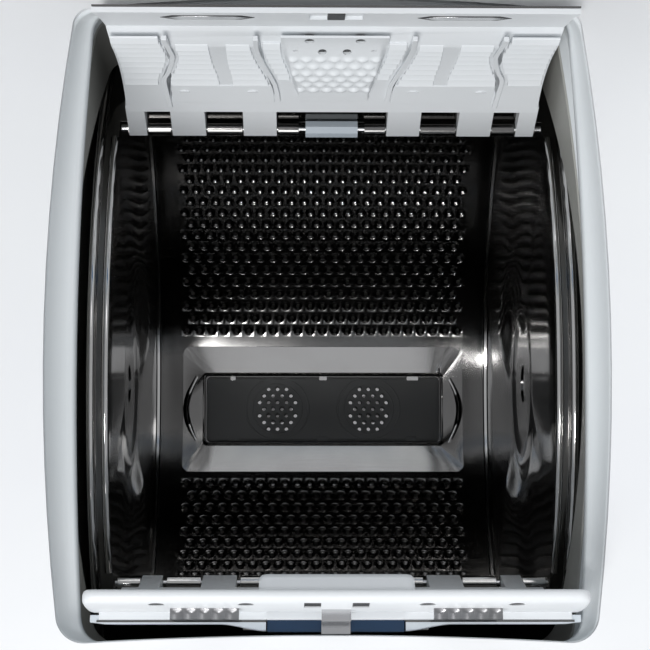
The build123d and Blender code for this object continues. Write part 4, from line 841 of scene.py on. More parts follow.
def track(points):
    """A line across a door, given by angles and distances from the middle, for each place along it."""
    stations = sorted((door_inner * math.sin(math.radians(angle)), x) for angle, x in points)
    slopes = [0.0]
    for before, after in zip(stations, stations[2:]):
        slopes.append((after[1] - before[1]) / (after[0] - before[0]))
    slopes.append(0.0)

    def value(y):
        if y <= stations[0][0]:
            return stations[0][1]
        for n, ((low, first), (high, second)) in enumerate(zip(stations, stations[1:])):
            if y <= high:
                span = high - low
                share = (y - low) / span
                lead = share * (1.0 - share) ** 2 * slopes[n] * span
                tail = share * share * (1.0 - share) * slopes[n + 1] * span
                return first + (second - first) * smooth_step(share) + lead - tail
        return stations[-1][1]

    return value


rear_half_width = through([(134.2, 117.0), (82.0, 115.5), (-14.8, 122.0)])
front_half_width = through([(-129.0, 117.0), (-76.0, 115.5), (18.6, 122.0)])
panel_inner = 230.2
lining_outer = skin_inner - 0.2
lap_radius = 236.0
lap_edge, lap_start = -3.3, 4.9
tab_radius = 4.25
rear_tabs = [(31.5, 50.6), (72.1, 91.6), (106.0, 116.5)]
front_tabs = [(53.0, 72.0), (94.4, 106.0)]


def tab_outline(hinge_angle, side):
    """The cross-section of a moulded tab that wraps a hinge rod and runs into its door."""
    centre = polar(hinge_radius, hinge_angle)
    root = hinge_angle - side * 7.0
    points = [polar(panel_inner, root), polar(skin_inner - 0.3, root)]
    facing = math.degrees(math.atan2(points[1][1] - centre[1], points[1][0] - centre[0]))
    turns = [facing - side * (62.0 + 14.0 * n) for n in range(14)]
    for turn in turns:
        across, along = math.cos(math.radians(turn)), math.sin(math.radians(turn))
        points.append((centre[0] + tab_radius * across, centre[1] + tab_radius * along))
    return points


def louvres(start, end, count):
    """The cross-section of a row of moulded louvres."""
    crest, root = panel_inner - 1.9, panel_inner + 0.2
    points = []
    pitch = (end - start) / count
    for n in range(count):
        low = start + n * pitch
        points += [polar(root, low), polar(crest, low + 0.72 * pitch), polar(root, low + 0.9 * pitch)]
    return points + [polar(root, end), polar(root + 1.2, end)] + arc(root + 1.2, end, start, 3.0)[1:]


first_strip = track(
    [(5.2, 88.5), (9.0, 87.2), (12.4, 86.0), (17.0, 89.3), (19.3, 92.3), (22.7, 92.0), (27.0, 91.0)]
)
second_strip = track([(5.2, 41.3), (9.3, 41.1), (14.4, 38.3), (19.3, 33.5), (21.0, 31.9), (25.5, 30.5)])
channel_outer = track([(6.0, 66.5), (14.0, 65.5), (21.0, 62.5)])
channel_inner = track([(6.0, 57.2), (14.0, 57.0), (21.0, 55.0)])
bump_edge = track([(5.0, 25.5), (12.0, 25.0), (20.6, 20.5)])
strip_width = 3.4
crest_half = 1.3
panel_root = 28.2


def rear_panel():
    """The curved panel of the rear door's lining."""
    mesh = bmesh.new()
    shoulder = [polar(235.8, lap_start), polar(234.6, 5.5), polar(232.2, 7.4)]
    panel = shoulder + arc(panel_inner, 9.0, panel_root, 1.2) + arc(lining_outer, panel_root, lap_start)
    bar(mesh, on_rear_door, mirrored(rear_half_width), rear_half_width, panel)
    replaced = ["rear_door_liner"]
    return keep_piece(mesh, "rear_door_panel", "rear_door", liner_white, sharp=30.0, replaces=replaced)


window_half = 13.5
hatch_half = 4.6
slot_near, slot_far = 40.6, 89.4
slot_half = 5.6
slot_point = 7.0
slot_radius = 238.0


def rear_lap():
    """The flat lap along the rear door's free edge, which lies over the front door when both are shut."""
    mesh = bmesh.new()
    lap = sector(lap_radius, lining_outer, lap_edge, lap_start, 1.2)
    bar(mesh, on_rear_door, mirrored(rear_half_width), rear_half_width, lap)
    made = keep_piece(mesh, "rear_door_lap", "rear_door", liner_white, sharp=30.0)
    cutter = bmesh.new()
    for hand in (-1, 1):
        slab(cutter, on_rear_door, [(hand * x, y) for x, y in slot_outline(0.0)], 230.0, 246.0)
    slab(cutter, on_rear_door, window_outline(window_half), 230.0, skin_inner - 1.3)
    slab(cutter, on_rear_door, window_outline(hatch_half), 236.5, 246.0)
    carve(made, cutter)
    sharpen(made, 30.0)
    return made


def slot_outline(inset):
    """The outline of a tongue slot with pointed ends, across and along the rear door."""
    near, far, half = slot_near + inset * 2.0, slot_far - inset * 2.0, slot_half - inset
    middle = polar(slot_radius, 0.1)[0]
    left, right = near + slot_point, far - slot_point
    points = ((near, 0.0), (left, half), (right, half), (far, 0.0), (right, -half), (left, -half))
    return [(x, middle + y) for x, y in points]


def window_outline(half):
    """The outline of the latch window or of the hatch inside it."""
    low, high = polar(slot_radius, -2.7)[0], polar(slot_radius, 1.3)[0]
    return [(-half, low), (half, low), (half, high), (-half, high)]


def rear_slot_shade_cups():
    """Black cups behind the tongue slots and the latch hatch of the rear door: painted shade for the hollow
    door behind them.
    """
    mesh = bmesh.new()
    for hand in (-1, 1):
        slab(mesh, on_rear_door, [(hand * x, y) for x, y in slot_outline(0.2)], 235.85, 238.6)
    slab(mesh, on_rear_door, [(x, y - 1.5) for x, y in window_outline(hatch_half - 0.2)], 235.4, 238.4)
    return keep_piece(mesh, "rear_door_slot_shade_cups", "rear_door", black_plastic, bevel=0.2)


def rear_slot_plates():
    """The steel plates that show in the two tongue slots."""
    mesh = bmesh.new()
    for hand in (-1, 1):
        slab(mesh, on_rear_door, [(hand * x, y) for x, y in slot_outline(1.9)], 235.6, 237.6)
    return keep_piece(mesh, "rear_door_slot_plates", "rear_door", bright_steel, bevel=0.25)


ejector_places = (44.5, 82.0)


def beside(line, away):
    """A line across a door, moved sideways."""
    return lambda y: line(y) + away


def rear_ribs():
    """The louvres, curved strips, ledges and hinge tabs moulded onto the rear door's lining."""
    mesh = bmesh.new()
    blocks = (
        # near side, far side, angles of the two ends, and number of louvres
        (beside(first_strip, strip_width), beside(rear_half_width, -1.2), 5.6, 21.2, 9),
        (channel_outer, beside(first_strip, -strip_width), 8.6, 21.2, 8),
        (beside(second_strip, strip_width), channel_inner, 8.6, 21.2, 8),
        (beside(bump_edge, 3.0), beside(second_strip, -strip_width), 8.0, 19.6, 7),
    )
    for near, far, start, end, count in blocks:
        both_hands(mesh, on_rear_door, near, far, louvres(start, end, count))
    for strip, start, end in ((first_strip, 5.0, 26.8), (second_strip, 5.0, 25.2)):
        crest = sector(228.6, panel_inner + 1.0, start, end, 0.6)
        both_hands(mesh, on_rear_door, beside(strip, -crest_half), beside(strip, crest_half), crest)
    step = sector(229.7, panel_inner + 0.6, 21.4, 25.8, 1.4)
    both_hands(mesh, on_rear_door, beside(second_strip, 2.0), beside(first_strip, -2.6), step)
    along, height = polar(229.8, 23.5)
    for x in ejector_places:
        for hand in (-1, 1):
            slab(mesh, on_rear_door, ring((hand * x, along), 3.6, 20), height + 0.4, height + 3.0)
    for near, far in rear_tabs:
        both_hands(mesh, on_rear_door, near, far, tab_outline(rear_hinge, 1))
    bar(mesh, on_rear_door, -19.4, 19.4, sector(227.4, panel_inner + 0.8, 22.2, 24.4, 1.1))
    return keep_piece(mesh, "rear_door_ribs", "rear_door", liner_white, bevel=0.35)


bump_rise = 8.0
nub_rows = (11.2, 12.8, 14.4, 16.0, 17.6, 19.2)
nub_pitch = 7.4
nub_rise = 1.5
nub_half_width, nub_half_length = 3.4, 2.1
drain_spots = (
    # distance from the middle, angle, and half-sizes across and along the door
    (13.3, 6.6, 2.6, 2.9), (6.5, 9.5, 2.3, 2.6), (20.6, 9.2, 1.5, 0.7),
)
bump_start, bump_end = 5.4, 20.8
bump_base = panel_inner + 0.3
bump_radius = 225.0


def bump_height(x, angle, half):
    """The rise of the bump over the lining of the rear door."""
    rise = bump_rise * smooth_step((angle - bump_start) / 11.0) * smooth_step((half - abs(x)) / 4.5)
    for number, row in enumerate(nub_rows):
        along = (angle - row) * math.radians(1.0) * bump_radius
        shift = 0.5 if number % 2 else 0.0
        nearest = (round(x / nub_pitch - shift) + shift) * nub_pitch
        if abs(nearest) < half - 3.5:
            away = math.hypot((x - nearest) / nub_half_width, along / nub_half_length)
            if away < 1.0:
                rise += nub_rise * (1.0 - away * away)
    return rise


def bump_half(angle):
    """Half the width of the bump, at an angle along the door."""
    return bump_edge(door_inner * math.sin(math.radians(angle))) + 2.6


def door_bump():
    """The raised middle of the rear lining, with rows of nubs."""
    mesh = bmesh.new()
    columns, rows = 90, 64
    angles = [bump_start + (bump_end - bump_start) * row / rows for row in range(rows + 1)]
    top = []
    for angle in angles:
        half = bump_half(angle)
        line = []
        for column in range(columns + 1):
            x = half * (2.0 * column / columns - 1.0)
            line.append(on_rear_door(x, *polar(bump_base - bump_height(x, angle, half), angle)))
        top.append(line)
    made = net(mesh, top)
    back = []
    for angle in angles:
        half = bump_half(angle)
        spot = polar(panel_inner + 1.6, angle)
        back.append([mesh.verts.new(on_rear_door(x, *spot)) for x in (-half, half)])
    for n in range(rows):
        (left, right), (next_left, next_right) = back[n], back[n + 1]
        mesh.faces.new((left, right, next_right, next_left))
        mesh.faces.new((made[n][0], left, next_left, made[n + 1][0]))
        mesh.faces.new((made[n][-1], made[n + 1][-1], next_right, right))
    mesh.faces.new(made[0] + back[0][::-1])
    mesh.faces.new(made[-1][::-1] + back[-1])
    return keep_piece(mesh, "rear_door_bump", "rear_door", liner_white, sharp=60.0)


def drain_holes(*made):
    """Drills the drain holes of the rear door through its bump and its lining."""
    for target in made:
        cutter = bmesh.new()
        for hand in (-1, 1):
            for spot in drain_spots:
                closed_rings(cutter, [drain_ring(hand, spot, radius) for radius in (216.0, 233.6)])
        carve(target, cutter)
        sharpen(target, 40.0)


def drain_ring(hand, spot, radius, shrink=1.0):
    """One level of a drain hole."""
    x, angle, wide, long = spot
    centre_y, centre_z = polar(radius, angle)
    outline = ring((0.0, 0.0), shrink, 16)
    return [on_rear_door(hand * x + wide * a, centre_y + long * b, centre_z) for a, b in outline]


def drain_painted_shade():
    """Black plugs behind each drain hole of the rear door: painted shade for the hollow door behind the
    holes.
    """
    mesh = bmesh.new()
    for hand in (-1, 1):
        for spot in drain_spots:
            surface = bump_base - bump_height(spot[0], spot[1], bump_half(spot[1]))
            closed_rings(mesh, [drain_ring(hand, spot, radius, 1.04) for radius in (surface + 0.5, 233.0)])
    return keep_piece(mesh, "rear_door_drain_cloth", "rear_door", black_plastic, sharp=40.0)


rear_lap()
rear_slot_shade_cups()
rear_slot_plates()
rear_ribs()
drain_painted_shade()
drain_holes(rear_panel(), door_bump())

bar_outer = 235.3
bar_section = (
    # radius and angle round the edge of the bar
    (230.2, -4.6), (229.3, -4.4), (door_inner, -3.9), (door_inner, -1.0), (door_inner, 2.0),
    (door_inner, 3.4), (229.3, 3.9), (230.0, 4.15), (231.0, 4.25), (232.6, 4.25), (234.0, 4.1),
    (234.8, 3.8), (235.2, 3.3),
    (bar_outer, 2.6), (bar_outer, 0.0), (bar_outer, -2.4), (bar_outer, -4.1), (235.0, -4.5), (234.2, -4.6),
)


def front_lining():
    """The white lining of the front door, a curved panel with hinge tabs."""
    mesh = bmesh.new()
    panel = sector(229.6, lining_outer, -25.4, -3.8)
    half = beside(front_half_width, -1.0)
    bar(mesh, on_front_door, mirrored(half), half, panel)
    for near, far in front_tabs:
        both_hands(mesh, on_front_door, near, far, tab_outline(front_hinge, -1))
    replaced = ["front_door_liner"]
    return keep_piece(mesh, "front_door_lining", "front_door", liner_white, bevel=0.5, replaces=replaced)


bar_half = 123.0
bar_ends = (
    # distance from the middle, and size of the section there
    (-bar_half, 0.30), (-122.6, 0.62), (-121.6, 0.85), (-120.0, 0.97), (-117.0, 1.0),
)
moon_places = (43.8, 87.0)
moon_middle = 9.4
moon_half = (3.9, 3.2)
groove_near, groove_far = 7.6, 15.8
groove_low, groove_high = 0.3, 3.1
button_recess = ((-34.4, -21.0), (34.4, -21.0), (34.4, -12.4), (-34.4, -12.4))
above_bar = 240.0


def moon(hand, x, lap=0.0):
    """The outline of a half-moon slot in the front door's bar."""
    half_x, half_y = moon_half[0] + lap, moon_half[1] + lap
    return [(hand * x + half_x * a, moon_middle + half_y * b) for a, b in ring((0, 0), 1.0, 20)]


def groove(hand, lap=0.0):
    """The outline of a latch groove in the front door's bar, with its lap in millimetres and degrees."""
    low, high = (polar(236.0, angle)[0] for angle in (groove_low - lap, groove_high + lap))
    near, far = groove_near - lap, groove_far + lap
    return [(hand * x, y) for x, y in ((near, low), (far, low), (far, high), (near, high))]


def front_bar():
    """The rounded bar along the free edge of the front door, with its half-moon slots and latch grooves."""
    mesh = bmesh.new()
    rings = []
    stations = list(bar_ends) + [(x, 1.0) for x in range(-108, 109, 12)]
    stations += [(-x, size) for x, size in reversed(bar_ends)]
    middle = polar((door_inner + bar_outer) / 2, -0.2)
    outline = [polar(radius, angle) for radius, angle in bar_section]
    for x, size in stations:
        rings.append([
            on_front_door(x, middle[0] + (y - middle[0]) * size, middle[1] + (z - middle[1]) * size)
            for y, z in outline
        ])
    closed_rings(mesh, rings)
    made = keep_piece(mesh, "front_door_bar", "front_door", liner_white, sharp=50.0)
    cutter = bmesh.new()
    for hand in (-1, 1):
        for x in moon_places:
            slab(cutter, on_front_door, moon(hand, x), 232.6, above_bar)
        slab(cutter, on_front_door, groove(hand), 232.4, above_bar)
    slab(cutter, on_front_door, button_recess, 232.4, above_bar)
    carve(made, cutter)
    sharpen(made, 50.0)
    return made


def front_slot_shade_floors():
    """Black floors in the slots of the front door's bar: painted shade for the depth of the slots."""
    mesh = bmesh.new()
    for hand in (-1, 1):
        for x in moon_places:
            slab(mesh, on_front_door, moon(hand, x, 0.3), 232.3, 234.7)
        slab(mesh, on_front_door, groove(hand, 0.2), 232.1, 234.6)
    return keep_piece(mesh, "front_door_slot_shade_floors", "front_door", black_plastic)


pad_start, pad_span = -22.6, 26.2
pad_steps = 48
pad_half = 38.0
pad_rise = 9.8
pad_base = 229.9


def front_bump():
    """The raised middle of the front lining, a smooth pad with round shoulders."""
    mesh = bmesh.new()
    rings = []
    for n in range(pad_steps + 1):
        share = n / pad_steps
        angle = pad_start + pad_span * share
        rise = pad_rise * smooth_step(share * 6.0) * smooth_step((1.0 - share) * 16.0)
        half = pad_half - 2.5 * (1.0 - smooth_step(share * 5.0))
        crown = pad_base - max(rise, 0.05)
        profile = [(-half, pad_base), (-half + 0.4, crown + 1.8), (-half + 1.9, crown + 0.4)]
        profile.append((-half + 4.0, crown))
        profile += [(-x, radius) for x, radius in reversed(profile)]
        rings.append([on_front_door(x, *polar(min(radius, pad_base), angle)) for x, radius in profile])
    closed_rings(mesh, rings)
    return keep_piece(mesh, "front_door_bump", "front_door", liner_white, sharp=50.0)


cheek_half = 34.6
grip_outer = 241.0


def front_trim():
    """The pale grip along the outside of the front door's free edge, which rises to a cheek by the button."""
    mesh = bmesh.new()
    stations = [cheek_half + 2.0 * n for n in range(14)] + [66.0 + 6.0 * n for n in range(9)]
    for hand in (-1, 1):
        rings = []
        for x in stations + [118.0, 120.5, 121.6]:
            rise = 3.4 * smooth_step((58.0 - x) / 24.0)
            droop = 0.9 * smooth_step((x - 112.0) / 10.0)
            outer = grip_outer + rise - droop
            upper = ((236.4, -3.9), (outer - 0.4, -3.9), (outer, -4.2))
            lower = ((outer, -13.4), (outer - 0.6, -14.0), (239.2, -14.2))
            rings.append([on_front_door(hand * x, *polar(radius, angle)) for radius, angle in upper + lower])
        closed_rings(mesh, rings)
    return keep_piece(mesh, "front_door_grip", "front_door", tray_blue_grey, bevel=0.35)


tongue_start, tongue_width = 47.5, 33.5
tongue_root, tongue_length = 235.4, 5.2
tongue_scallops = 5
tongue_columns, tongue_rows = 60, 8


def tongues():
    """The two catch tongues, strips with pressed scallops."""
    mesh = bmesh.new()
    for hand in (-1, 1):
        top, back = [], []
        for row in range(tongue_rows + 1):
            radius = tongue_root + tongue_length * row / tongue_rows
            front_line, back_line = [], []
            for n in range(tongue_columns + 1):
                share = n / tongue_columns
                x = hand * (tongue_start + tongue_width * share)
                scallop = abs(math.sin(math.pi * tongue_scallops * share))
                depth = 0.9 * scallop * smooth_step(row / 3.0)
                front_line.append(on_front_door(x, *polar(radius, 0.1 - math.degrees(depth / 236.0))))
                back_line.append(on_front_door(x, *polar(radius, -0.75)))
            top.append(front_line)
            back.append(back_line)
        first, second = net(mesh, top), net(mesh, back)
        for n in range(tongue_columns):
            mesh.faces.new((first[0][n], second[0][n], second[0][n + 1], first[0][n + 1]))
            mesh.faces.new((first[-1][n], first[-1][n + 1], second[-1][n + 1], second[-1][n]))
        for row in range(tongue_rows):
            mesh.faces.new((first[row][0], first[row + 1][0], second[row + 1][0], second[row][0]))
            mesh.faces.new((first[row][-1], second[row][-1], second[row + 1][-1], first[row + 1][-1]))
    return keep_piece(mesh, "door_catch_tongues", "front_door", spring_wire, replaces=["catch_tongues"])


front_lining()
front_bar()
front_slot_shade_floors()
front_bump()
front_trim()
tongues()


# Gasket

gasket_shift = -4.0
bow_centre = -5.0


def bowed(sides, bow, grow, front_bow=0.0, rear_bow=0.0, corner=(13.0, 12.0)):
    """The outline round the drum's mouth: bowed sides and round corners, with the same points each time."""
    half, front, rear = sides
    low, high = front - grow, rear + grow

    def side(y):
        return half + grow - bow + math.sqrt(bow * bow - (y - bow_centre) ** 2)

    def across(x, edge, bend):
        return edge + bend * (1.0 - (x / side(edge)) ** 2)

    cut_low, cut_high = corner[0] + grow, corner[1] + grow
    right = [(side(low + cut_low + (high - low - cut_low - cut_high) * n / 30),
              low + cut_low + (high - low - cut_low - cut_high) * n / 30) for n in range(31)]
    top_half = side(high) - cut_high
    top = [(top_half * (1.0 - n / 10), across(top_half * (1.0 - n / 10), high, rear_bow)) for n in range(21)]
    bottom_half = side(low) - cut_low
    places = [bottom_half * (n / 10 - 1.0) for n in range(21)]
    bottom = [(x, across(x, low, front_bow)) for x in places]

    def corner_run(first, knee, second):
        run = []
        for n in range(1, 8):
            t = n / 8
            run.append(tuple(
                (1 - t) ** 2 * a + 2 * t * (1 - t) * b + t * t * c for a, b, c in zip(first, knee, second)
            ))
        return run

    upper = corner_run(right[-1], (side(high), top[0][1] - 0.3), top[0])
    lower = corner_run(bottom[-1], (side(low), bottom[-1][1] + 0.3), right[0])
    loop = right + upper + top + [(-x, y) for x, y in reversed(upper)] + [(-x, y) for x, y in reversed(right)]
    loop += [(-x, y) for x, y in reversed(lower)] + bottom + lower
    return loop


mouth_sides = (142.3, -153.7, 166.5)
lip_sides = (129.6, -154.0, 170.0)
lip_offset = 2.0
neck_sides = (139.0, -162.0, 180.0)
gasket_levels = (
    # share of the way from the mouth to the lip, growth, and height over the drum's axis
    (0.0, 7.6, 318.0), (0.0, 0.6, 318.0), (0.0, -0.2, 317.6), (0.05, -0.4, 316.4), (0.20, 0.0, 313.6),
    (0.45, 0.0, 310.2), (0.70, 0.0, 308.0), (0.84, 0.0, 307.6), (0.93, 0.0, 306.8), (0.985, 0.0, 304.6),
    (1.0, 0.3, 301.0), (1.0, 4.0, 297.0), (1.0, 9.0, 290.0), (1.0, 10.4, 276.0), (1.0, 10.6, 262.8),
)


def gasket():
    """The rubber gasket: a smooth band that slopes from the deck to a fat lip, and a cuff on the neck."""
    mesh = bmesh.new()
    rings = []

    def level(share, grow, height):
        outer = bowed(mouth_sides, 1100.0, grow, 4.3, 6.5 if grow > 2.0 else 1.5)
        inner = bowed(lip_sides, 2200.0, grow)
        places = []
        for a, b in zip(outer, inner):
            x = gasket_shift + a[0] + (b[0] + lip_offset - a[0]) * share
            places.append(on_drum(x, a[1] + (b[1] - a[1]) * share, height))
        return places

    for share, grow, height in gasket_levels:
        rings.append(level(share, grow, height))

    def cuff(grow, height):
        outline = bowed(neck_sides, 1100.0, grow, corner=(14, 14))
        return [on_drum(gasket_shift + x, y, height) for x, y in outline]

    rings += [cuff(1.0, 262.4), cuff(3.3, 262.4), cuff(3.3, 248.6), cuff(5.6, 248.6)]
    rings += [cuff(6.2, 251.0), cuff(5.4, 252.6), cuff(6.2, 254.4), cuff(5.4, 256.2), cuff(5.9, 264.0)]
    rings += [level(1.0, 12.8, 267.0), level(1.0, 12.8, 281.0), level(0.92, 10.4, 291.6)]
    rings.append(level(0.40, 3.6, 301.0))
    rings += [level(0.0, 2.4, 312.0), level(0.0, 3.0, 315.6), level(0.0, 7.6, 315.6)]
    rings.append(rings[0])
    closed_rings(mesh, rings, cap=False)
    weld(mesh)
    made = keep_piece(mesh, "mouth_gasket_rubber", None, rubber, sharp=60.0, replaces=["mouth_gasket"])
    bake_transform(made)
    return made


gasket()


# Suspension, hose and belt

def tube(mesh, path, sizes, sides, flat_ends=True):
    """A round tube along a path of places in millimetres, with a radius at each of them."""
    rings = []
    across = None
    for n, spot in enumerate(path):
        ahead = (Vector(path[min(n + 1, len(path) - 1)]) - Vector(path[max(n - 1, 0)])).normalized()
        if across is None:
            across = ahead.orthogonal().normalized()
        across = (across - ahead * across.dot(ahead)).normalized()
        third = ahead.cross(across)
        rings.append([
            (Vector(spot) + across * (a * sizes[n]) + third * (b * sizes[n])) * mm
            for a, b in ring((0.0, 0.0), 1.0, sides)
        ])
    closed_rings(mesh, rings, cap=flat_ends)


spring_low, spring_high = 600.0, 752.0
spring_places = [(x, y) for x in (-176.0, 176.0) for y in (-165.0, 135.0)]
spring_turns = 17
coil_radius = 8.3
wire_radius = 1.5


def suspension_springs():
    """The four coil springs that carry the tub, each with a hook at its two ends."""
    mesh = bmesh.new()
    for x, y in spring_places:
        path = [(x, y + 5.5, spring_high - 2.0), (x, y + 3.0, spring_high), (x, y - 2.0, spring_high)]
        path += [(x, y - 6.0, spring_high - 4.0), (x, y - 3.0, spring_high - 10.0)]
        path.append((x, y, spring_high - 13.0))
        steps = spring_turns * 14
        for n in range(steps + 1):
            turn = math.tau * n / 14
            grown = coil_radius * smooth_step(n / 7) * smooth_step((steps - n) / 7)
            height = spring_high - 15.0 - (spring_high - spring_low - 30.0) * n / steps
            path.append((x + grown * math.cos(turn), y + grown * math.sin(turn), height))
        path += [(x, y, spring_low + 13.0), (x, y - 3.0, spring_low + 10.0), (x, y - 6.0, spring_low + 5.0)]
        path += [(x, y - 3.0, spring_low + 1.6), (x, y + 3.0, spring_low + 1.6)]
        path.append((x, y + 6.0, spring_low + 5.0))
        tube(mesh, path, [wire_radius] * len(path), 6)
    replaced = ["suspension_springs"]
    made = keep_piece(mesh, "suspension_spring_coils", None, spring_wire, sharp=60.0, replaces=replaced)
    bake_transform(made)


hose_start = (0.0, -67.0, 227.5)
hose_end = (-125.0, -224.0, 162.5)
hose_waves = 13


def sump_hose():
    """The bellows hose between the sump of the tub and the drain pump, with a clamp band at each end."""
    mesh = bmesh.new()
    count = 132
    knees = (hose_start, (0.0, -67.0, 176.0), (-125.0, -224.0, 214.0), hose_end)
    path, sizes = [], []
    for n in range(count + 1):
        t = n / count
        weights = ((1 - t) ** 3, 3 * t * (1 - t) ** 2, 3 * t * t * (1 - t), t**3)
        path.append(tuple(sum(w * knee[axis] for w, knee in zip(weights, knees)) for axis in range(3)))
        plain = smooth_step((t - 0.12) / 0.03) * smooth_step((0.88 - t) / 0.03)
        sizes.append(15.6 + 1.5 * plain * math.cos(math.tau * hose_waves * t))
    tube(mesh, path, sizes, 28)
    for spot in (hose_start, hose_end):
        away = -9.0 if spot is hose_start else 6.0
        band = [(spot[0], spot[1], spot[2] + away + step) for step in (0.0, 0.6, 5.4, 6.0)]
        tube(mesh, band, [16.0, 16.9, 16.9, 16.0], 28)
    made = keep_piece(mesh, "sump_bellows_hose", None, black_rubber, sharp=50.0, replaces=["sump_hose"])
    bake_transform(made)


belt_x = -178.0
pulley_place, pulley_reach = (drum_y, drum_z), 134.35
motor_place, motor_reach = (108.8, 187.8), 10.85
belt_section = (
    # reach across, and height over the pulley
    (-5.0, 1.0), (-4.4, 0.1), (-3.2, 0.1), (-2.6, 1.1), (-2.0, 0.1), (-0.8, 0.1), (-0.2, 1.1), (0.4, 0.1),
    (1.6, 0.1), (2.2, 1.1), (2.8, 0.1), (4.4, 0.1), (5.0, 1.0), (5.0, 2.4), (4.4, 2.9), (-4.4, 2.9),
    (-5.0, 2.4),
)


def drive_belt():
    """The ribbed belt round the drum pulley and the motor's shaft."""
    mesh = bmesh.new()
    gap_y, gap_z = motor_place[0] - pulley_place[0], motor_place[1] - pulley_place[1]
    distance, facing = math.hypot(gap_y, gap_z), math.atan2(gap_z, gap_y)
    lean = math.acos((pulley_reach - motor_reach) / distance)
    stations = []
    for n in range(97):
        stations.append((pulley_place, pulley_reach, facing + lean + (math.tau - 2 * lean) * n / 96))
    first = (motor_place, motor_reach, facing - lean)
    for n in range(1, 24):
        stations.append((stations[96], first, n / 24))
    for n in range(19):
        stations.append((motor_place, motor_reach, facing - lean + 2 * lean * n / 18))
    last = stations[-1]
    for n in range(1, 24):
        stations.append((last, stations[0], n / 24))

    def spot(station, up):
        place, reach, turn = station
        if isinstance(place[0], tuple):
            start, end = spot(place, up), spot(reach, up)
            return tuple(a + (b - a) * turn for a, b in zip(start, end))
        return place[0] + (reach + up) * math.cos(turn), place[1] + (reach + up) * math.sin(turn)

    rings = []
    for station in stations:
        rings.append([on_cabinet(belt_x + across, *spot(station, up)) for across, up in belt_section])
    closed_rings(mesh, rings + rings[:1], cap=False)
    weld(mesh)
    keep_piece(mesh, "ribbed_drive_belt", "tub", black_rubber, sharp=25.0, replaces=["drive_belt"])


suspension_springs()
sump_hose()
drive_belt()


# Cabinet and console

rear_face = 285.0
screw_rows = (60.0, 240.0, 420.0, 600.0, 780.0)


def prism(mesh, centre, direction, radius, sides, low, high, chamfer=0.3, start=0.0):
    """A many-sided head standing on a face, along one of the cabinet's axes."""
    axis = Vector(direction).normalized()
    across = Vector((1.0, 0.0, 0.0)) if abs(axis.x) < 0.5 else Vector((0.0, 1.0, 0.0))
    across = (across - axis * across.dot(axis)).normalized()
    third = axis.cross(across)
    rings = []
    for size, level in ((radius, low), (radius, high - chamfer), (radius - chamfer, high)):
        outline = ring((0, 0), size, sides, start)
        rings.append([(Vector(centre) + across * a + third * b + axis * level) * mm for a, b in outline])
    closed_rings(mesh, rings)


def rear_screws():
    """The flanged hexagon screws along the edges of the rear panel."""
    mesh = bmesh.new()
    for z in screw_rows:
        for x in (-178.0, 178.0):
            prism(mesh, (x, rear_face, z), (0, 1, 0), 5.2, 20, -0.4, 1.0)
            prism(mesh, (x, rear_face, z), (0, 1, 0), 3.8, 6, 0.8, 3.6, 0.4)
    return keep_piece(mesh, "rear_panel_screws", "cabinet", bright_steel, sharp=35.0)


def panel_ribs():
    """The stiffening ribs pressed outwards in the rear panel."""
    mesh = bmesh.new()
    for x in (-112.0, -56.0, 0.0, 56.0, 112.0):
        rings = []
        for grow, up in ((0.0, -0.3), (-1.4, 1.2), (-3.2, 2.2), (-5.2, 2.6)):
            outline = rounded(9.0 + grow, 250.0 + grow, 8.5 + grow, (x, 440.0), 6)
            rings.append([on_cabinet(a, rear_face + up, b) for a, b in outline])
        closed_rings(mesh, rings)
    return keep_piece(mesh, "rear_panel_ribs", "cabinet", zinc, sharp=50.0)


fascia_middle = (258.0, 908.0)
fascia_tilt = 13.4


def on_fascia(x, along, up):
    """A place on the sloping face of the console."""
    sine, cosine = math.sin(math.radians(fascia_tilt)), math.cos(math.radians(fascia_tilt))
    return on_cabinet(
        x, fascia_middle[0] + along * cosine - up * sine, fascia_middle[1] + along * sine + up * cosine
    )


def dial_marks():
    """The ring of ticks round the programme knob, with a dot at every third."""
    mesh = bmesh.new()
    for n in range(-10, 11):
        turn = math.radians(15.0 * n + 90.0)
        away, side = (math.cos(turn), math.sin(turn)), (-math.sin(turn), math.cos(turn))
        inner, outer, half = (25.6, 30.4, 0.5) if n % 3 == 0 else (26.4, 29.2, 0.3)
        corners = [
            (away[0] * reach + side[0] * across, away[1] * reach + side[1] * across)
            for reach, across in ((inner, -half), (outer, -half), (outer, half), (inner, half))
        ]
        slab(mesh, on_fascia, corners, -0.2, 0.25)
        if n % 3 == 0:
            slab(mesh, on_fascia, ring((away[0] * 33.4, away[1] * 33.4), 0.9, 12), -0.2, 0.25)
    return keep_piece(mesh, "dial_marks", "cabinet", grey_plastic)


def key_lights():
    """The small lights beside the keys of the console."""
    mesh = bmesh.new()
    for x in (-98.0, -62.0, 62.0):
        slab(mesh, on_fascia, rounded(3.4, 0.8, 0.7, (x, 16.0), 3), -0.2, 0.35)
    return keep_piece(mesh, "key_lights", "cabinet", light_amber, bevel=0.1)


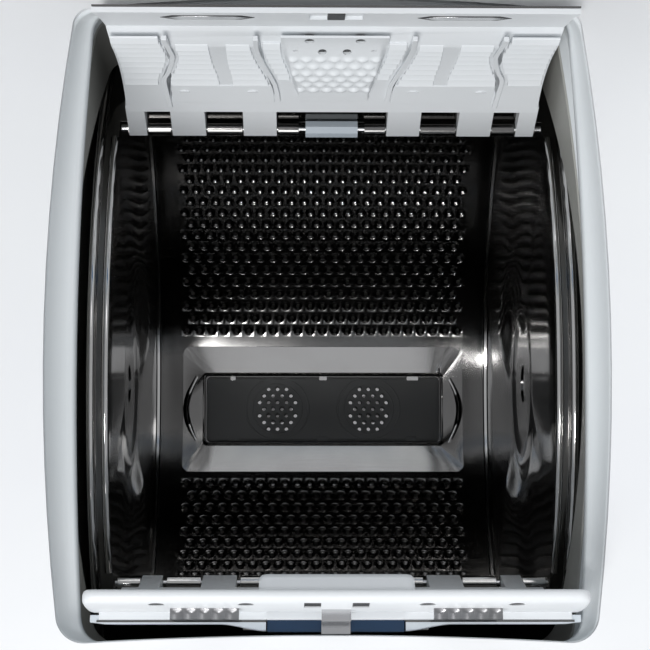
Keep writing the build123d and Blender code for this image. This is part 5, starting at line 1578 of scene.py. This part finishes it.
light_amber = plastic("light_amber", (0.60, 0.28, 0.05), (0.52, 0.23, 0.04), 900.0, (0.08, 0.16))
rear_screws()
panel_ribs()
dial_marks()
key_lights()


# Camera, stage and light

world_strength = 0.54


def add_camera():
    """The camera at the photograph's angle."""
    lens = bpy.data.cameras.new("camera")
    lens.lens = camera_lens
    lens.sensor_width = camera_sensor
    eye = bpy.data.objects.new("camera", lens)
    bpy.context.scene.collection.objects.link(eye)
    eye.location = Vector(camera_place) * mm
    eye.rotation_euler = (math.radians(camera_tilt), math.radians(camera_roll), 0.0)
    bpy.context.scene.camera = eye


def add_stage():
    """A plain pale floor."""
    mesh = bpy.data.meshes.new("floor")
    reach = 12.0
    corners = [(-reach, -reach, 0), (reach, -reach, 0), (reach, reach, 0), (-reach, reach, 0)]
    mesh.from_pydata(corners, [], [(0, 1, 2, 3)])
    floor = bpy.data.objects.new("floor", mesh)
    bpy.context.scene.collection.objects.link(floor)
    floor_pale = plastic("floor_pale", (0.80, 0.80, 0.80), (0.78, 0.78, 0.78), 40.0, (0.8, 0.9))
    floor.data.materials.append(floor_pale)


def add_lamp(name, place, aim, size, power):
    """A soft lamp in metres and watts, turned towards a point."""
    lamp = bpy.data.lights.new(name, "AREA")
    lamp.shape = "RECTANGLE"
    lamp.size, lamp.size_y = size
    lamp.energy = power
    holder = bpy.data.objects.new(name, lamp)
    bpy.context.scene.collection.objects.link(holder)
    holder.location = place
    holder.rotation_euler = (Vector(aim) - Vector(place)).to_track_quat("-Z", "Y").to_euler()


add_camera()
add_stage()
add_lamp("key", (-0.6, -2.0, 2.4), (0, 0, 0.7), (1.5, 1.5), 40)
add_lamp("fill", (0.8, 1.3, 2.8), (0, 0, 0.7), (1.5, 1.5), 12)
add_lamp("glint", (-0.35, -0.75, 3.0), (0, 0, 0.5), (0.3, 0.3), 11)
world = bpy.data.worlds.new("studio")
bpy.context.scene.world = world
world.use_nodes = True
world.node_tree.nodes["Background"].inputs["Color"].default_value = shade(0.9, 0.92, 0.95)
world.node_tree.nodes["Background"].inputs["Strength"].default_value = world_strength
bpy.context.scene.view_settings.view_transform = "Standard"
